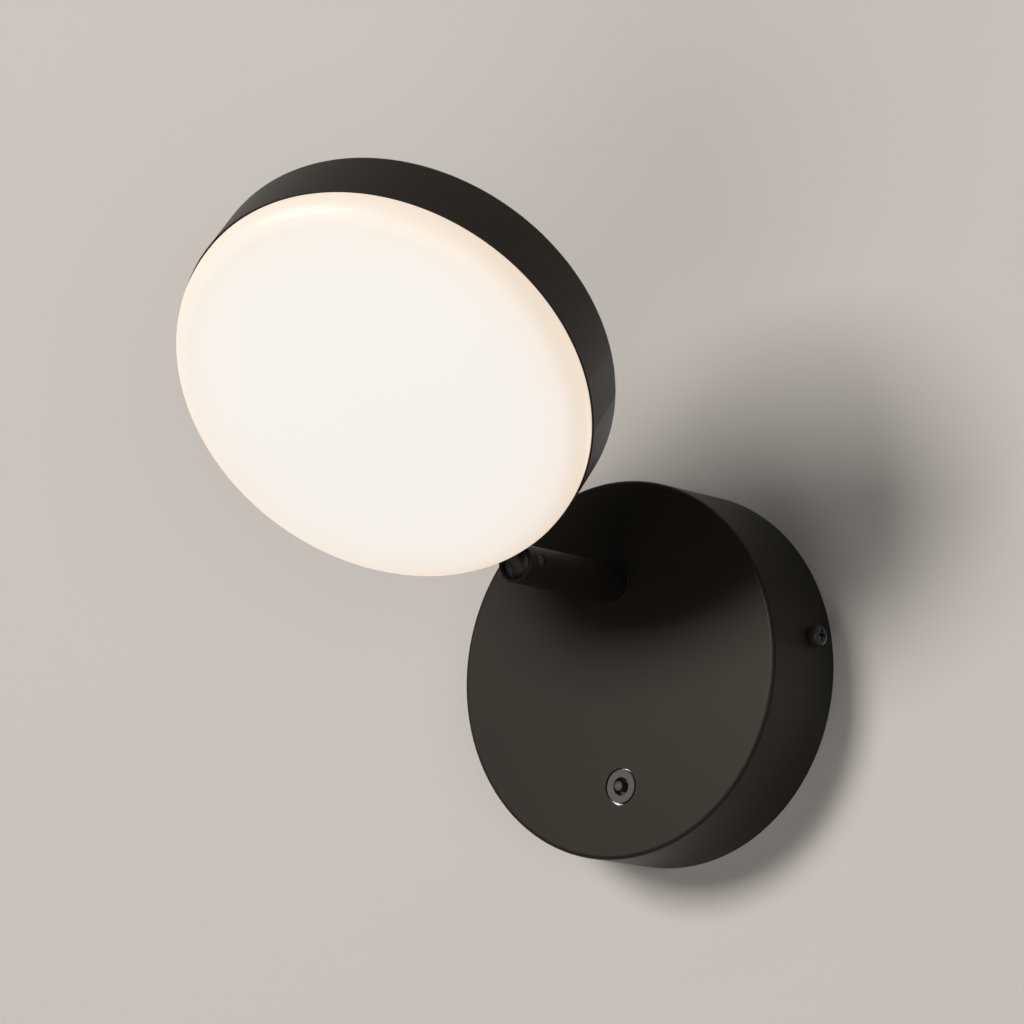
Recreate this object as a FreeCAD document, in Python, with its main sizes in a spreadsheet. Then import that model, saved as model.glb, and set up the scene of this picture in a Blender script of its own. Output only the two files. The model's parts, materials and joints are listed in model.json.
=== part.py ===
"""Pivoting spotlight wall light, as a parametric document.

A drawn canopy stands on the wall. A straight tube comes out of its upper half and turns about its own axis.
A shallow lamp head tilts on a pin across the tube's slotted open end. A push button sits in the lower half.

Frame: millimetres, +Z up, the wall is the plane y = 0 and the room lies towards -Y. The origin is the centre
of the canopy's rear edge. Lengths along Y are written as depths, counted from the wall towards the room.
"""
import FreeCAD, Part
import math
import os
import Sketcher

from FreeCAD import Vector

# Driving dimensions in millimetres and degrees. Each is one cell of the sheet.
SIZES = {
    # canopy
    "canopy_radius": 50.0,
    "canopy_depth": 27.5,
    "canopy_wall": 1.2,
    "canopy_edge_radius": 1.0,
    "arm_height": 22.8,
    "button_drop": 31.0,
    "button_hole_radius": 4.9,
    # screws: radius of the shank, radius and height of the pan head
    "thread_gap": 0.05,
    "small_screw_radius": 1.5,
    "small_head_radius": 2.8,
    "small_head_height": 2.4,
    "screw_end_gap": 0.3,
    "clearance_hole_gap": 0.2,
    # wall bracket
    "bracket_thickness": 1.5,
    "bracket_half_width": 40.0,
    "bracket_top": 25.0,
    "bracket_bottom": 23.0,
    "bracket_corner_radius": 8.0,
    "bend_radius": 1.0,
    "ear_width": 12.0,
    "ear_reach": 14.0,
    "ear_gap": 0.3,
    "wall_screw_spacing": 60.0,
    "wall_slot_length": 10.0,
    "wall_slot_width": 4.5,
    "side_screw_height": 4.4,
    "side_screw_depth": 8.5,
    "side_screw_length": 6.0,
    # cable bush
    "cable_height": 7.0,
    "cable_radius": 5.0,
    "cable_bush_wall": 1.4,
    "cable_bush_rim": 2.0,
    "cable_bush_rim_thickness": 1.2,
    "bush_gap": 0.05,
    # driver
    "driver_width": 44.0,
    "driver_height": 20.0,
    "driver_depth": 15.0,
    "driver_drop": 12.5,
    "driver_wall": 1.2,
    "driver_base_thickness": 1.5,
    "driver_lug_reach": 7.0,
    "driver_lug_width": 8.0,
    "driver_board_thickness": 1.6,
    "driver_board_gap": 0.4,
    "driver_coil_size": 9.0,
    "driver_coil_height": 7.5,
    # terminal block
    "terminal_left": 11.5,
    "terminal_bottom": 8.5,
    "terminal_height": 15.0,
    "terminal_depth": 12.0,
    "terminal_pitch": 9.0,
    "terminal_poles": 3,
    "terminal_bore_depth": 6.5,
    "sleeve_radius": 2.4,
    "sleeve_bore_radius": 1.5,
    "sleeve_inset": 1.0,
    "clamp_screw_radius": 1.3,
    "clamp_screw_length": 4.0,
    "clamp_screw_spread": 3.5,
    "fixing_screw_radius": 1.2,
    "fixing_head_radius": 1.9,
    "fixing_head_height": 1.5,
    # earth point
    "earth_offset": 20.0,
    "earth_height": 16.0,
    "earth_screw_radius": 2.0,
    "earth_head_radius": 3.5,
    "earth_head_height": 2.4,
    "eyelet_radius": 4.6,
    "eyelet_thickness": 0.8,
    "eyelet_barrel_wall": 0.6,
    "eyelet_barrel_length": 5.0,
    # push switch
    "switch_plate_thickness": 1.2,
    "switch_plate_half_width": 12.0,
    "switch_plate_half_height": 7.5,
    "bezel_radius": 4.4,
    "bezel_bore_radius": 2.3,
    "bezel_gap": 0.1,
    "plunger_radius": 1.3,
    "plunger_projection": 1.2,
    "plunger_tip_chamfer": 0.35,
    "plunger_gap": 0.05,
    "plunger_travel": 1.0,
    "plunger_collar_radius": 2.3,
    "plunger_collar_length": 1.0,
    "plunger_tail_radius": 0.9,
    "switch_flange_half_width": 11.0,
    "switch_flange_half_height": 4.5,
    "switch_flange_thickness": 1.2,
    "switch_half_size": 6.5,
    "switch_body_depth": 9.5,
    "switch_front_wall": 2.0,
    "switch_chamber_radius": 2.8,
    "switch_base_thickness": 2.0,
    "switch_seat_height": 1.6,
    "switch_seat_gap": 0.1,
    "switch_screw_offset": 9.0,
    "switch_screw_radius": 1.0,
    "switch_screw_head_radius": 1.9,
    "switch_screw_head_height": 1.2,
    "tag_offset": 3.5,
    "tag_thickness": 0.8,
    "tag_width": 4.0,
    "tag_length": 5.0,
    "spring_wire_radius": 0.2,
    "spring_radius": 1.5,
    "spring_turns": 4,
    # arm
    "arm_radius": 5.2,
    "arm_wall": 1.0,
    "arm_end_depth": 70.3,
    "arm_rim_chamfer": 0.2,
    "arm_swivel": -8.2,
    "running_gap": 0.05,
    "press_gap": 0.02,
    "bush_flange_thickness": 0.5,
    "bush_sleeve_radius": 4.6,
    "nipple_thread_radius": 4.0,
    "nipple_bore_radius": 2.8,
    "nipple_grip": 10.0,
    "nipple_reach": 9.5,
    "slip_washer_radius": 7.2,
    "slip_washer_thickness": 0.5,
    "stop_washer_radius": 6.5,
    "stop_washer_thickness": 1.0,
    "stop_tab_reach": 9.7,
    "stop_tab_half_width": 1.3,
    "stop_pin_orbit": 8.5,
    "stop_pin_radius": 1.2,
    "stop_pin_length": 2.0,
    "spring_washer_radius": 6.8,
    "spring_washer_thickness": 0.6,
    "spring_washer_dish": 0.5,
    "nut_across_flats": 13.0,
    "nut_thickness": 4.0,
    # knuckle at the arm's end
    "pivot_inset": 5.0,
    "pin_radius": 1.5,
    "pin_end_inset": 0.25,
    "tongue_thickness": 3.2,
    "tongue_half_width": 3.5,
    "tongue_web": 1.0,
    "tongue_cheek": 0.8,
    "fork_inset": 1.5,
    "fork_length": 14.0,
    "fork_slot_end_gap": 1.0,
    "tube_slot_gap": 0.3,
    "tube_slot_end_gap": 1.2,
    "hinge_washer_radius": 3.4,
    "hinge_washer_thickness": 0.5,
    # head
    "head_radius": 56.0,
    "head_depth": 17.5,
    "head_wall": 1.0,
    "head_edge_radius": 1.2,
    "head_gap": 7.7,
    "head_tilt": 42.6,
    "foot_thickness": 1.5,
    "foot_half_width": 10.0,
    "foot_half_height": 5.5,
    "slot_gap": 0.1,
    "inner_gap": 0.1,
    "standoff_height": 4.0,
    "standoff_radius": 3.0,
    "standoff_inset": 10.8,
    "standoff_count": 4,
    "board_edge_gap": 3.2,
    "board_thickness": 1.6,
    "board_notch_half_width": 3.0,
    "board_notch_depth": 5.0,
    "board_screw_length": 5.0,
    "board_head_height": 1.6,
    "chip_width": 2.8,
    "chip_length": 3.5,
    "chip_height": 0.7,
    "chip_inset": 15.8,
    "chip_rings": 3,
    "chips_per_ring": 6,
    "connector_half_width": 3.0,
    "connector_length": 8.0,
    "connector_height": 3.0,
    "connector_inset": 17.8,
    # reflector and diffuser
    "skirt_thickness": 1.5,
    "skirt_reach": 4.0,
    "lip_step": 1.0,
    "lip_width": 0.5,
    "diffuser_edge_height": 6.7,
    "diffuser_edge_radius": 5.4,
    "diffuser_crown": 2.2,
    "diffuser_thickness": 2.0,
    "reflector_wall": 1.0,
    "reflector_inset": 7.3,
    "reflector_top_gap": 1.5,
    # leads
    "mains_lead_radius": 1.0,
    "lamp_lead_radius": 0.7,
    "lead_gap": 0.1,
    "lead_end_gap": 0.4,
}

# Plain ratios of one size to another.
THROUGH = 3             # length of a cutter, in thicknesses of the wall that it goes through
PAST = 1.1              # reach of a cutter through a whole body, in half lengths of the body
RIM_SHARE = 0.4         # rounding of a screw's head, in its heights, and of the bush, in its walls
LUG_ROUND = 0.6         # rounding of the driver's lugs, in their half widths
PORT_SHARE = 0.6        # depth of the driver's lead ports, in depths of its case
OUTPUT_SHARE = 0.7      # place of the driver's output port, in half lengths of its case
COIL_STRETCH = 1.4      # length of the driver's transformer, in its widths
CAPACITOR_SHARE = 0.7   # radius of the driver's capacitor, in half widths of the transformer
CAPACITOR_RISE = 0.9    # height of the capacitor, in heights of the transformer
CLAMP_SHARE = 0.9       # how far a clamp screw stands off a sleeve's axis, in radii of its bore
CONE_RIM = 1.4          # flat rim of the reflector's cone, in walls
CONE_TOP = 1.8          # its wall across the slant at the top, in walls
CONE_FOOT = 1.2         # its wall across the slant at the foot, in walls

DOC = FreeCAD.newDocument("wall_light")
SHEET = DOC.addObject("Spreadsheet::Sheet", "Sizes")


class Size:
    """A number together with the sheet formula that it comes from."""

    def __init__(self, value, formula):
        self.value = value
        self.formula = formula

    def __add__(self, other):
        other = as_size(other)
        return Size(self.value + other.value, f"({self.formula} + {other.formula})")

    def __sub__(self, other):
        other = as_size(other)
        return Size(self.value - other.value, f"({self.formula} - {other.formula})")

    def __mul__(self, other):
        other = as_size(other)
        return Size(self.value * other.value, f"({self.formula} * {other.formula})")

    def __truediv__(self, other):
        other = as_size(other)
        return Size(self.value / other.value, f"({self.formula} / {other.formula})")

    def __neg__(self):
        return Size(-self.value, f"(0 - {self.formula})")

    def __radd__(self, other):
        return as_size(other) + self

    def __rsub__(self, other):
        return as_size(other) - self

    def __rmul__(self, other):
        return as_size(other) * self


class Sheet:
    """The driving dimensions by name, each a Size that points at its own cell."""

    def __init__(self, sizes):
        for row, (name, number) in enumerate(sizes.items(), 1):
            SHEET.set(f"A{row}", name)
            SHEET.set(f"B{row}", str(number))
            SHEET.setAlias(f"B{row}", name)
            setattr(self, name, Size(float(number), f"Sizes.{name}"))
        DOC.recompute()


def as_size(item):
    """Item as a Size, where a bare number is its own formula."""
    if isinstance(item, Size):
        return item
    return Size(float(item), f"({float(item)!r})")


def root(item):
    """Square root of a Size."""
    return Size(math.sqrt(item.value), f"sqrt({item.formula})")


def smaller(first, second):
    """The smaller of two Sizes."""
    return Size(min(first.value, second.value), f"min({first.formula}; {second.formula})")


d = Sheet(SIZES)
PIECES = []


# ---- frames ------------------------------------------------------------------------------------------------

def shift(right=0, depth=0, up=0, turn_axis="0;1;0", turn=0):
    """A placement formula: a move, with the depth counted towards the room, after a turn about an axis."""
    right, back, up, turn = as_size(right), -as_size(depth), as_size(up), as_size(turn)
    move = f"vector({right.formula}; {back.formula}; {up.formula})"
    return f"placement({move}; rotation(vector({turn_axis}); {turn.formula}))"


pivot_depth = d.arm_end_depth - d.pivot_inset
head_offset = d.head_radius + d.head_gap

WALL = shift()
BUTTON = shift(up=-d.button_drop)
ARM_AXIS = shift(up=d.arm_height)
ARM = shift(up=d.arm_height, turn=d.arm_swivel)
KNUCKLE = ARM + " * " + shift(depth=pivot_depth)
# the tongue's frame: origin on the pin, head straight up and facing the room before the tilt
TONGUE = KNUCKLE + " * " + shift(turn_axis="1;0;0", turn=d.head_tilt)
# the head's frame: origin on its own axis, half way down the shell
HEAD = TONGUE + " * " + shift(up=head_offset)


# ---- drawing and features ----------------------------------------------------------------------------------

def piece(label, frame):
    """A new body that is one kind of sub-part, placed by its frame's formula."""
    body = DOC.addObject("PartDesign::Body", label)
    body.Label = label
    body.AllowCompound = True
    body.setExpression("Placement", frame)
    PIECES.append(body)
    return body


def origin_feature(body, role):
    """The body's own origin plane or axis with that role."""
    return next(item for item in body.Origin.OriginFeatures if item.Role == role)


def tie(sketch, kind, targets, size):
    """A dimension of the sketch that follows the sheet."""
    index = sketch.addConstraint(Sketcher.Constraint(kind, *targets, size.value))
    sketch.setExpression(f"Constraints[{index}]", size.formula)


def tie_point(sketch, edge, point, x, y):
    """Hold one point of an edge at x, y from the sketch's origin."""
    tie(sketch, "DistanceX", (-1, 1, edge, point), x)
    tie(sketch, "DistanceY", (-1, 1, edge, point), y)


def circle(x, y, radius):
    """A full circle, for draw()."""
    return ("circle", as_size(x), as_size(y), as_size(radius))


def outline(*points):
    """A closed outline, for draw(). A third item in a point is the centre of the arc to the next point, which
    runs counter-clockwise, or clockwise where a fourth item says so."""
    fixed = []
    for point in points:
        centre = tuple(as_size(value) for value in point[2]) if len(point) > 2 else None
        clockwise = len(point) > 3 and point[3] == "clockwise"
        fixed.append((as_size(point[0]), as_size(point[1]), centre, clockwise))
    return ("outline", fixed)


def box(left, low, right, high):
    """A rectangular outline."""
    return outline((left, low), (right, low), (right, high), (left, high))


def slot(x, y, length, width):
    """An outline with round ends, longer along the sketch's first axis."""
    reach = (length - width) / 2
    low, high = y - width / 2, y + width / 2
    return outline((x - reach, low), (x + reach, low, (x + reach, y)), (x + reach, high),
                   (x - reach, high, (x - reach, y)))


def draw_circle(sketch, loop):
    """Add one circle with its centre and radius tied to the sheet."""
    _, x, y, radius = loop
    edge = sketch.addGeometry(Part.Circle(Vector(x.value, y.value, 0), Vector(0, 0, 1), radius.value), False)
    tie(sketch, "Radius", (edge,), radius)
    tie_point(sketch, edge, 3, x, y)


def draw_arc(sketch, start, end, centre):
    """Add a counter-clockwise arc from start to end."""
    cx, cy = centre[0].value, centre[1].value
    first = math.atan2(start[1].value - cy, start[0].value - cx)
    last = math.atan2(end[1].value - cy, end[0].value - cx)
    radius = math.hypot(start[0].value - cx, start[1].value - cy)
    round_part = Part.Circle(Vector(cx, cy, 0), Vector(0, 0, 1), radius)
    return sketch.addGeometry(Part.ArcOfCircle(round_part, first, last), False)


def draw_outline(sketch, loop):
    """Add one closed outline with every corner tied to the sheet."""
    points = loop[1]
    edges = []
    for number, start in enumerate(points):
        end = points[(number + 1) % len(points)]
        if start[2] and start[3]:
            edges.append((draw_arc(sketch, end, start, start[2]), 2, 1))
        elif start[2]:
            edges.append((draw_arc(sketch, start, end, start[2]), 1, 2))
        else:
            line = Part.LineSegment(Vector(start[0].value, start[1].value, 0),
                                    Vector(end[0].value, end[1].value, 0))
            edges.append((sketch.addGeometry(line, False), 1, 2))
    for number, (edge, _, last) in enumerate(edges):
        following, first, _ = edges[(number + 1) % len(edges)]
        sketch.addConstraint(Sketcher.Constraint("Coincident", edge, last, following, first))
    for number, (edge, first, _) in enumerate(edges):
        start, end = points[number], points[(number + 1) % len(points)]
        tie_point(sketch, edge, first, start[0], start[1])
        if start[2]:
            run = abs(end[0].value - start[0].value) > abs(end[1].value - start[1].value)
            kind, size = ("DistanceY", start[2][1]) if run else ("DistanceX", start[2][0])
            tie(sketch, kind, (-1, 1, edge, 3), size)


def draw(body, plane, loops, lift=0):
    """A sketch on one of the body's planes, lifted along the plane's normal."""
    sketch = body.newObject("Sketcher::SketchObject", body.Label + "_sketch")
    sketch.AttachmentSupport = [(origin_feature(body, plane), "")]
    sketch.MapMode = "FlatFace"
    sketch.setExpression("AttachmentOffset.Base.z", as_size(lift).formula)
    for loop in loops:
        if loop[0] == "circle":
            draw_circle(sketch, loop)
        else:
            draw_outline(sketch, loop)
    return sketch


def volume(body):
    """The body's volume as it stands."""
    DOC.recompute()
    return body.Shape.Volume


def pad(body, plane, loops, start, length):
    """Material from start to start + length along the plane's normal. On XZ_Plane that is a depth."""
    feature = body.newObject("PartDesign::Pad", body.Label + "_pad")
    feature.Profile = draw(body, plane, loops, start)
    feature.setExpression("Length", as_size(length).formula)
    DOC.recompute()
    return feature


def cut(body, plane, loops, start, length):
    """Take away what lies between start and start + length along the plane's normal."""
    before = volume(body)
    feature = body.newObject("PartDesign::Pocket", body.Label + "_pocket")
    feature.Profile = draw(body, plane, loops, as_size(start) + as_size(length))
    feature.setExpression("Length", as_size(length).formula)
    if volume(body) > before - 1e-3:
        raise RuntimeError(body.Label + ": a pocket cut nothing")
    return feature


def revolve(body, loops, axis="V_Axis"):
    """Turn an outline on XY_Plane about the sketch's vertical or horizontal axis."""
    feature = body.newObject("PartDesign::Revolution", body.Label + "_turn")
    feature.Profile = draw(body, "XY_Plane", loops)
    feature.ReferenceAxis = (feature.Profile[0], [axis])
    feature.Angle = 360.0
    DOC.recompute()
    return feature


def dress(body, kind, wanted, prop, size):
    """Round or chamfer every edge of the body that wanted() picks."""
    base = body.Tip
    names = [f"Edge{n}" for n, edge in enumerate(base.Shape.Edges, 1) if wanted(edge)]
    if not names:
        raise RuntimeError(body.Label + ": no edge to dress")
    feature = body.newObject("PartDesign::" + kind, body.Label + "_" + kind.lower())
    feature.Base = (base, names)
    feature.setExpression(prop, size.formula)
    DOC.recompute()
    return feature


def rounded(body, wanted, radius):
    """Fillet the edges that wanted() picks."""
    return dress(body, "Fillet", wanted, "Radius", radius)


def chamfered(body, wanted, size):
    """Chamfer the edges that wanted() picks."""
    return dress(body, "Chamfer", wanted, "Size", size)


def curve_of(edge):
    """The edge's curve, or None at the pole of a sphere, which has none."""
    return None if edge.Length < 1e-6 else edge.Curve


def rim_at(radius, depth):
    """Picks full circles of a radius at a depth, round the body's Y axis."""
    def wanted(edge):
        curve = curve_of(edge)
        return (isinstance(curve, Part.Circle) and abs(curve.Radius - radius.value) < 1e-4
                and abs(curve.Center.y + depth.value) < 1e-4)
    return wanted


def line_along(direction, fits):
    """Picks straight edges that run along a direction and whose middle fits."""
    def wanted(edge):
        if not isinstance(curve_of(edge), (Part.Line, Part.LineSegment)):
            return False
        along = edge.tangentAt(edge.FirstParameter)
        return abs(abs(along.dot(direction)) - 1) < 1e-6 and fits(edge.CenterOfMass)
    return wanted


def near(first, second):
    """Whether two lengths are the same."""
    return abs(first - second) < 1e-4


def ring(body, count, originals, axis="Y_Axis"):
    """Repeat features evenly round the body's axis."""
    feature = body.newObject("PartDesign::PolarPattern", body.Label + "_ring")
    feature.Originals = originals
    feature.Axis = (origin_feature(body, axis), [""])
    feature.Angle = 360.0
    feature.setExpression("Occurrences", as_size(count).formula)
    body.Tip = feature
    DOC.recompute()
    return feature


def mirror(body, originals, plane="YZ_Plane"):
    """Repeat features on the other side of the body's plane."""
    feature = body.newObject("PartDesign::Mirrored", body.Label + "_mirror")
    feature.Originals = originals
    feature.MirrorPlane = (origin_feature(body, plane), [""])
    body.Tip = feature
    DOC.recompute()
    return feature


def row(body, axis, count, length, originals):
    """Repeat features evenly along an axis of the body, over a length."""
    feature = body.newObject("PartDesign::LinearPattern", body.Label + "_row")
    feature.Originals = originals
    feature.Direction = (origin_feature(body, axis), [""])
    feature.setExpression("Length", as_size(length).formula)
    feature.setExpression("Occurrences", as_size(count).formula)
    body.Tip = feature
    DOC.recompute()
    return feature


def tube_profile(inner, outer, near_depth, far_depth):
    """Section of a ring round the Y axis, between two depths."""
    return box(inner, -as_size(far_depth), outer, -as_size(near_depth))


def pan_screw(body, seat, head_radius, head_height, shank_radius, shank_length):
    """A pan head screw along Y: its head stands on the seat depth, its shank runs towards the wall."""
    top = seat + head_height
    tip = seat - shank_length
    feature = revolve(body, [outline((0, -top), (head_radius, -top), (head_radius, -seat),
                                     (shank_radius, -seat),
                                     (shank_radius, -tip), (0, -tip))])
    rounded(body, rim_at(head_radius, top), head_height * RIM_SHARE)
    return feature


# ---- canopy ------------------------------------------------------------------------------------------------

face_inside = d.canopy_depth - d.canopy_wall
canopy_inner = d.canopy_radius - d.canopy_wall
ear_top = d.side_screw_height + d.ear_width / 2
ear_low = d.side_screw_height - d.ear_width / 2
ear_outside = root(canopy_inner * canopy_inner - ear_top * ear_top) - d.ear_gap
tapped_small = d.small_screw_radius + d.thread_gap


def make_canopy_shell():
    """Drawn can, open at the wall, with its holes."""
    body = piece("canopy_shell", WALL)
    revolve(body, [outline((0, -d.canopy_depth), (d.canopy_radius, -d.canopy_depth), (d.canopy_radius, 0),
                           (canopy_inner, 0), (canopy_inner, -face_inside), (0, -face_inside))])
    rounded(body, rim_at(d.canopy_radius, d.canopy_depth), d.canopy_edge_radius)
    cut(body, "XZ_Plane", [circle(0, d.arm_height, d.bush_sleeve_radius + d.bush_gap),
                           circle(0, -d.button_drop, d.button_hole_radius)],
        face_inside - d.canopy_wall, d.canopy_wall * THROUGH)
    cut(body, "YZ_Plane", [circle(-d.side_screw_depth, d.side_screw_height,
                                  d.small_screw_radius + d.clearance_hole_gap)],
        -d.canopy_radius * PAST, d.canopy_radius * PAST * 2)


def make_wall_bracket():
    """Steel plate with wall slots, cable hole, tapped holes and two ears bent towards the room."""
    body = piece("wall_bracket", WALL)
    half, top, low = d.bracket_half_width, d.bracket_top, -d.bracket_bottom
    pad(body, "XZ_Plane", [box(-half, low, half, top)], 0, d.bracket_thickness)
    rounded(body, line_along(Vector(0, 1, 0), lambda at: near(abs(at.x), half.value)),
            d.bracket_corner_radius)
    pad(body, "XZ_Plane", [box(-ear_outside, ear_low, ear_outside, ear_top)], 0, d.bracket_thickness)
    ear_inside = ear_outside - d.bracket_thickness
    pad(body, "XZ_Plane", [box(ear_inside, ear_low, ear_outside, ear_top),
                           box(-ear_outside, ear_low, -ear_inside, ear_top)], 0, d.ear_reach)
    rounded(body, line_along(Vector(0, 0, 1), lambda at: near(abs(at.x), ear_inside.value)
                             and near(at.y, -d.bracket_thickness.value)), d.bend_radius)
    rounded(body, line_along(Vector(0, 0, 1), lambda at: near(abs(at.x), ear_outside.value)
                             and near(at.y, 0)), d.bend_radius + d.bracket_thickness)
    corner = smaller(d.bend_radius * 3, d.ear_width / 3)
    rounded(body, line_along(Vector(1, 0, 0), lambda at: near(at.y, -d.ear_reach.value)), corner)
    holes = [circle(0, d.cable_height, d.cable_radius + d.cable_bush_wall + d.bush_gap),
             slot(d.wall_screw_spacing / 2, as_size(0), d.wall_slot_length, d.wall_slot_width),
             slot(-d.wall_screw_spacing / 2, as_size(0), d.wall_slot_length, d.wall_slot_width),
             circle(driver_screw_right, -d.driver_drop, tapped_small),
             circle(-driver_screw_right, -d.driver_drop, tapped_small),
             circle(terminal_screw_right, terminal_middle, d.fixing_screw_radius + d.thread_gap),
             circle(-d.earth_offset, d.earth_height, d.earth_screw_radius + d.thread_gap)]
    cut(body, "XZ_Plane", holes, -d.bracket_thickness, d.bracket_thickness * THROUGH)
    cut(body, "YZ_Plane", [circle(-d.side_screw_depth, d.side_screw_height, tapped_small)],
        -d.canopy_radius, d.canopy_radius * 2)


def make_side_screws():
    """Two pan head screws that draw the can onto the ears, one each side."""
    body = piece("side_screws", shift(depth=d.side_screw_depth, up=d.side_screw_height))
    seat, tip = d.canopy_radius, d.canopy_radius - d.side_screw_length
    top = seat + d.small_head_height
    turned = revolve(body, [outline((tip, 0), (top, 0), (top, d.small_head_radius),
                                    (seat, d.small_head_radius),
                                    (seat, d.small_screw_radius), (tip, d.small_screw_radius))], "H_Axis")
    rounding = rounded(body, lambda edge: isinstance(curve_of(edge), Part.Circle)
                       and near(edge.CenterOfMass.x, top.value),
                       d.small_head_height * RIM_SHARE)
    mirror(body, [turned, rounding])


def make_cable_bush():
    """Plastic bush that guards the supply cable at the bracket's edge."""
    body = piece("cable_bush", shift(up=d.cable_height))
    sleeve = d.cable_radius + d.cable_bush_wall
    rim = sleeve + d.cable_bush_rim
    front = d.bracket_thickness + d.cable_bush_rim_thickness
    revolve(body, [outline((d.cable_radius, -front), (rim, -front), (rim, -d.bracket_thickness),
                           (sleeve, -d.bracket_thickness), (sleeve, 0), (d.cable_radius, 0))])
    rounded(body, rim_at(d.cable_radius, front), d.cable_bush_wall * RIM_SHARE)


# ---- driver ------------------------------------------------------------------------------------------------

driver_half = d.driver_width / 2
driver_low = -d.driver_drop - d.driver_height / 2
driver_top = -d.driver_drop + d.driver_height / 2
driver_seat = d.bracket_thickness + d.driver_base_thickness
driver_front = driver_seat + d.driver_depth
driver_screw_right = driver_half + d.driver_lug_reach / 2
lead_port_height = -d.driver_drop + d.driver_height / 5
lead_port_depth = driver_seat + d.driver_depth * PORT_SHARE
output_port_left = -driver_half * OUTPUT_SHARE


def make_driver():
    """Closed plastic case on a base with two lugs, with its board and wound transformer."""
    base = piece("driver_base", WALL)
    lug = d.driver_lug_width / 2
    pad(base, "XZ_Plane", [box(-driver_half, driver_low, driver_half, driver_top)],
        d.bracket_thickness, d.driver_base_thickness)
    reach = driver_half + d.driver_lug_reach
    pad(base, "XZ_Plane", [box(-reach, -d.driver_drop - lug, reach, -d.driver_drop + lug)],
        d.bracket_thickness, d.driver_base_thickness)
    rounded(base, line_along(Vector(0, 1, 0), lambda at: near(abs(at.x), reach.value)), lug * LUG_ROUND)
    hole = d.small_screw_radius + d.clearance_hole_gap
    cut(base, "XZ_Plane", [circle(driver_screw_right, -d.driver_drop, hole),
                           circle(-driver_screw_right, -d.driver_drop, hole)],
        0, driver_seat * 2)

    case = piece("driver_case", WALL)
    pad(case, "XZ_Plane", [box(-driver_half, driver_low, driver_half, driver_top)],
        driver_seat, d.driver_depth)
    rounded(case, line_along(Vector(0, 1, 0), lambda at: near(abs(at.x), driver_half.value)), d.driver_wall)
    inside = driver_half - d.driver_wall
    cut(case, "XZ_Plane", [box(-inside, driver_low + d.driver_wall, inside, driver_top - d.driver_wall)],
        driver_seat - d.driver_wall, d.driver_depth)
    port = circle(-lead_port_depth, lead_port_height, d.mains_lead_radius + d.lead_gap)
    cut(case, "YZ_Plane", [port], -driver_half * PAST, driver_half * PAST * 2)
    output = circle(output_port_left, -lead_port_depth, d.lamp_lead_radius + d.lead_gap)
    cut(case, "XY_Plane", [output], driver_top - d.driver_wall * 1.5, d.driver_wall * 2)

    board = piece("driver_board", WALL)
    edge = inside - d.driver_board_gap
    low = driver_low + d.driver_wall + d.driver_board_gap
    high = driver_top - d.driver_wall - d.driver_board_gap
    pad(board, "XZ_Plane", [box(-edge, low, edge, high)], driver_seat, d.driver_board_thickness)
    coil = d.driver_coil_size / 2
    coil_seat = driver_seat + d.driver_board_thickness
    coil_half = coil * COIL_STRETCH
    pad(board, "XZ_Plane", [box(-coil, -d.driver_drop - coil_half, coil, -d.driver_drop + coil_half)],
        coil_seat, d.driver_coil_height)
    capacitor = coil * CAPACITOR_SHARE
    pad(board, "XZ_Plane", [circle(-(coil + capacitor * 2), -d.driver_drop - (coil_half - coil), capacitor)],
        coil_seat, d.driver_coil_height * CAPACITOR_RISE)

    screws = piece("driver_screws", shift(up=-d.driver_drop))
    screw_pair(screws, driver_screw_right, driver_seat, d.small_head_radius, d.small_head_height,
               d.small_screw_radius, driver_seat - d.screw_end_gap)


def screw_pair(body, offset, seat, head_radius, head_height, shank_radius, shank_length):
    """Two screws along Y, left and right of the body's axis, heads towards the room."""
    shank = pad(body, "XZ_Plane", [circle(offset, 0, shank_radius)], seat - shank_length, shank_length)
    head = pad(body, "XZ_Plane", [circle(offset, 0, head_radius)], seat, head_height)
    top = seat + head_height
    crown = rounded(body, lambda edge: isinstance(curve_of(edge), Part.Circle)
                    and near(edge.CenterOfMass.y, -top.value), head_height * RIM_SHARE)
    mirror(body, [shank, head, crown])


# ---- terminal block ----------------------------------------------------------------------------------------

terminal_width = d.terminal_pitch * d.terminal_poles
terminal_top = d.terminal_bottom + d.terminal_height
terminal_middle = d.terminal_bottom + d.terminal_height / 2
terminal_front = d.bracket_thickness + d.terminal_depth
first_pole = d.terminal_left + d.terminal_pitch / 2
pole_span = d.terminal_pitch * (d.terminal_poles - 1)
terminal_screw_right = d.terminal_left + d.terminal_pitch
sleeve_depth = d.bracket_thickness + d.terminal_bore_depth
# the clamp screws bear on the wires, half way into each sleeve's bore
clamp_tip = sleeve_depth + d.sleeve_bore_radius * CLAMP_SHARE


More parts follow.
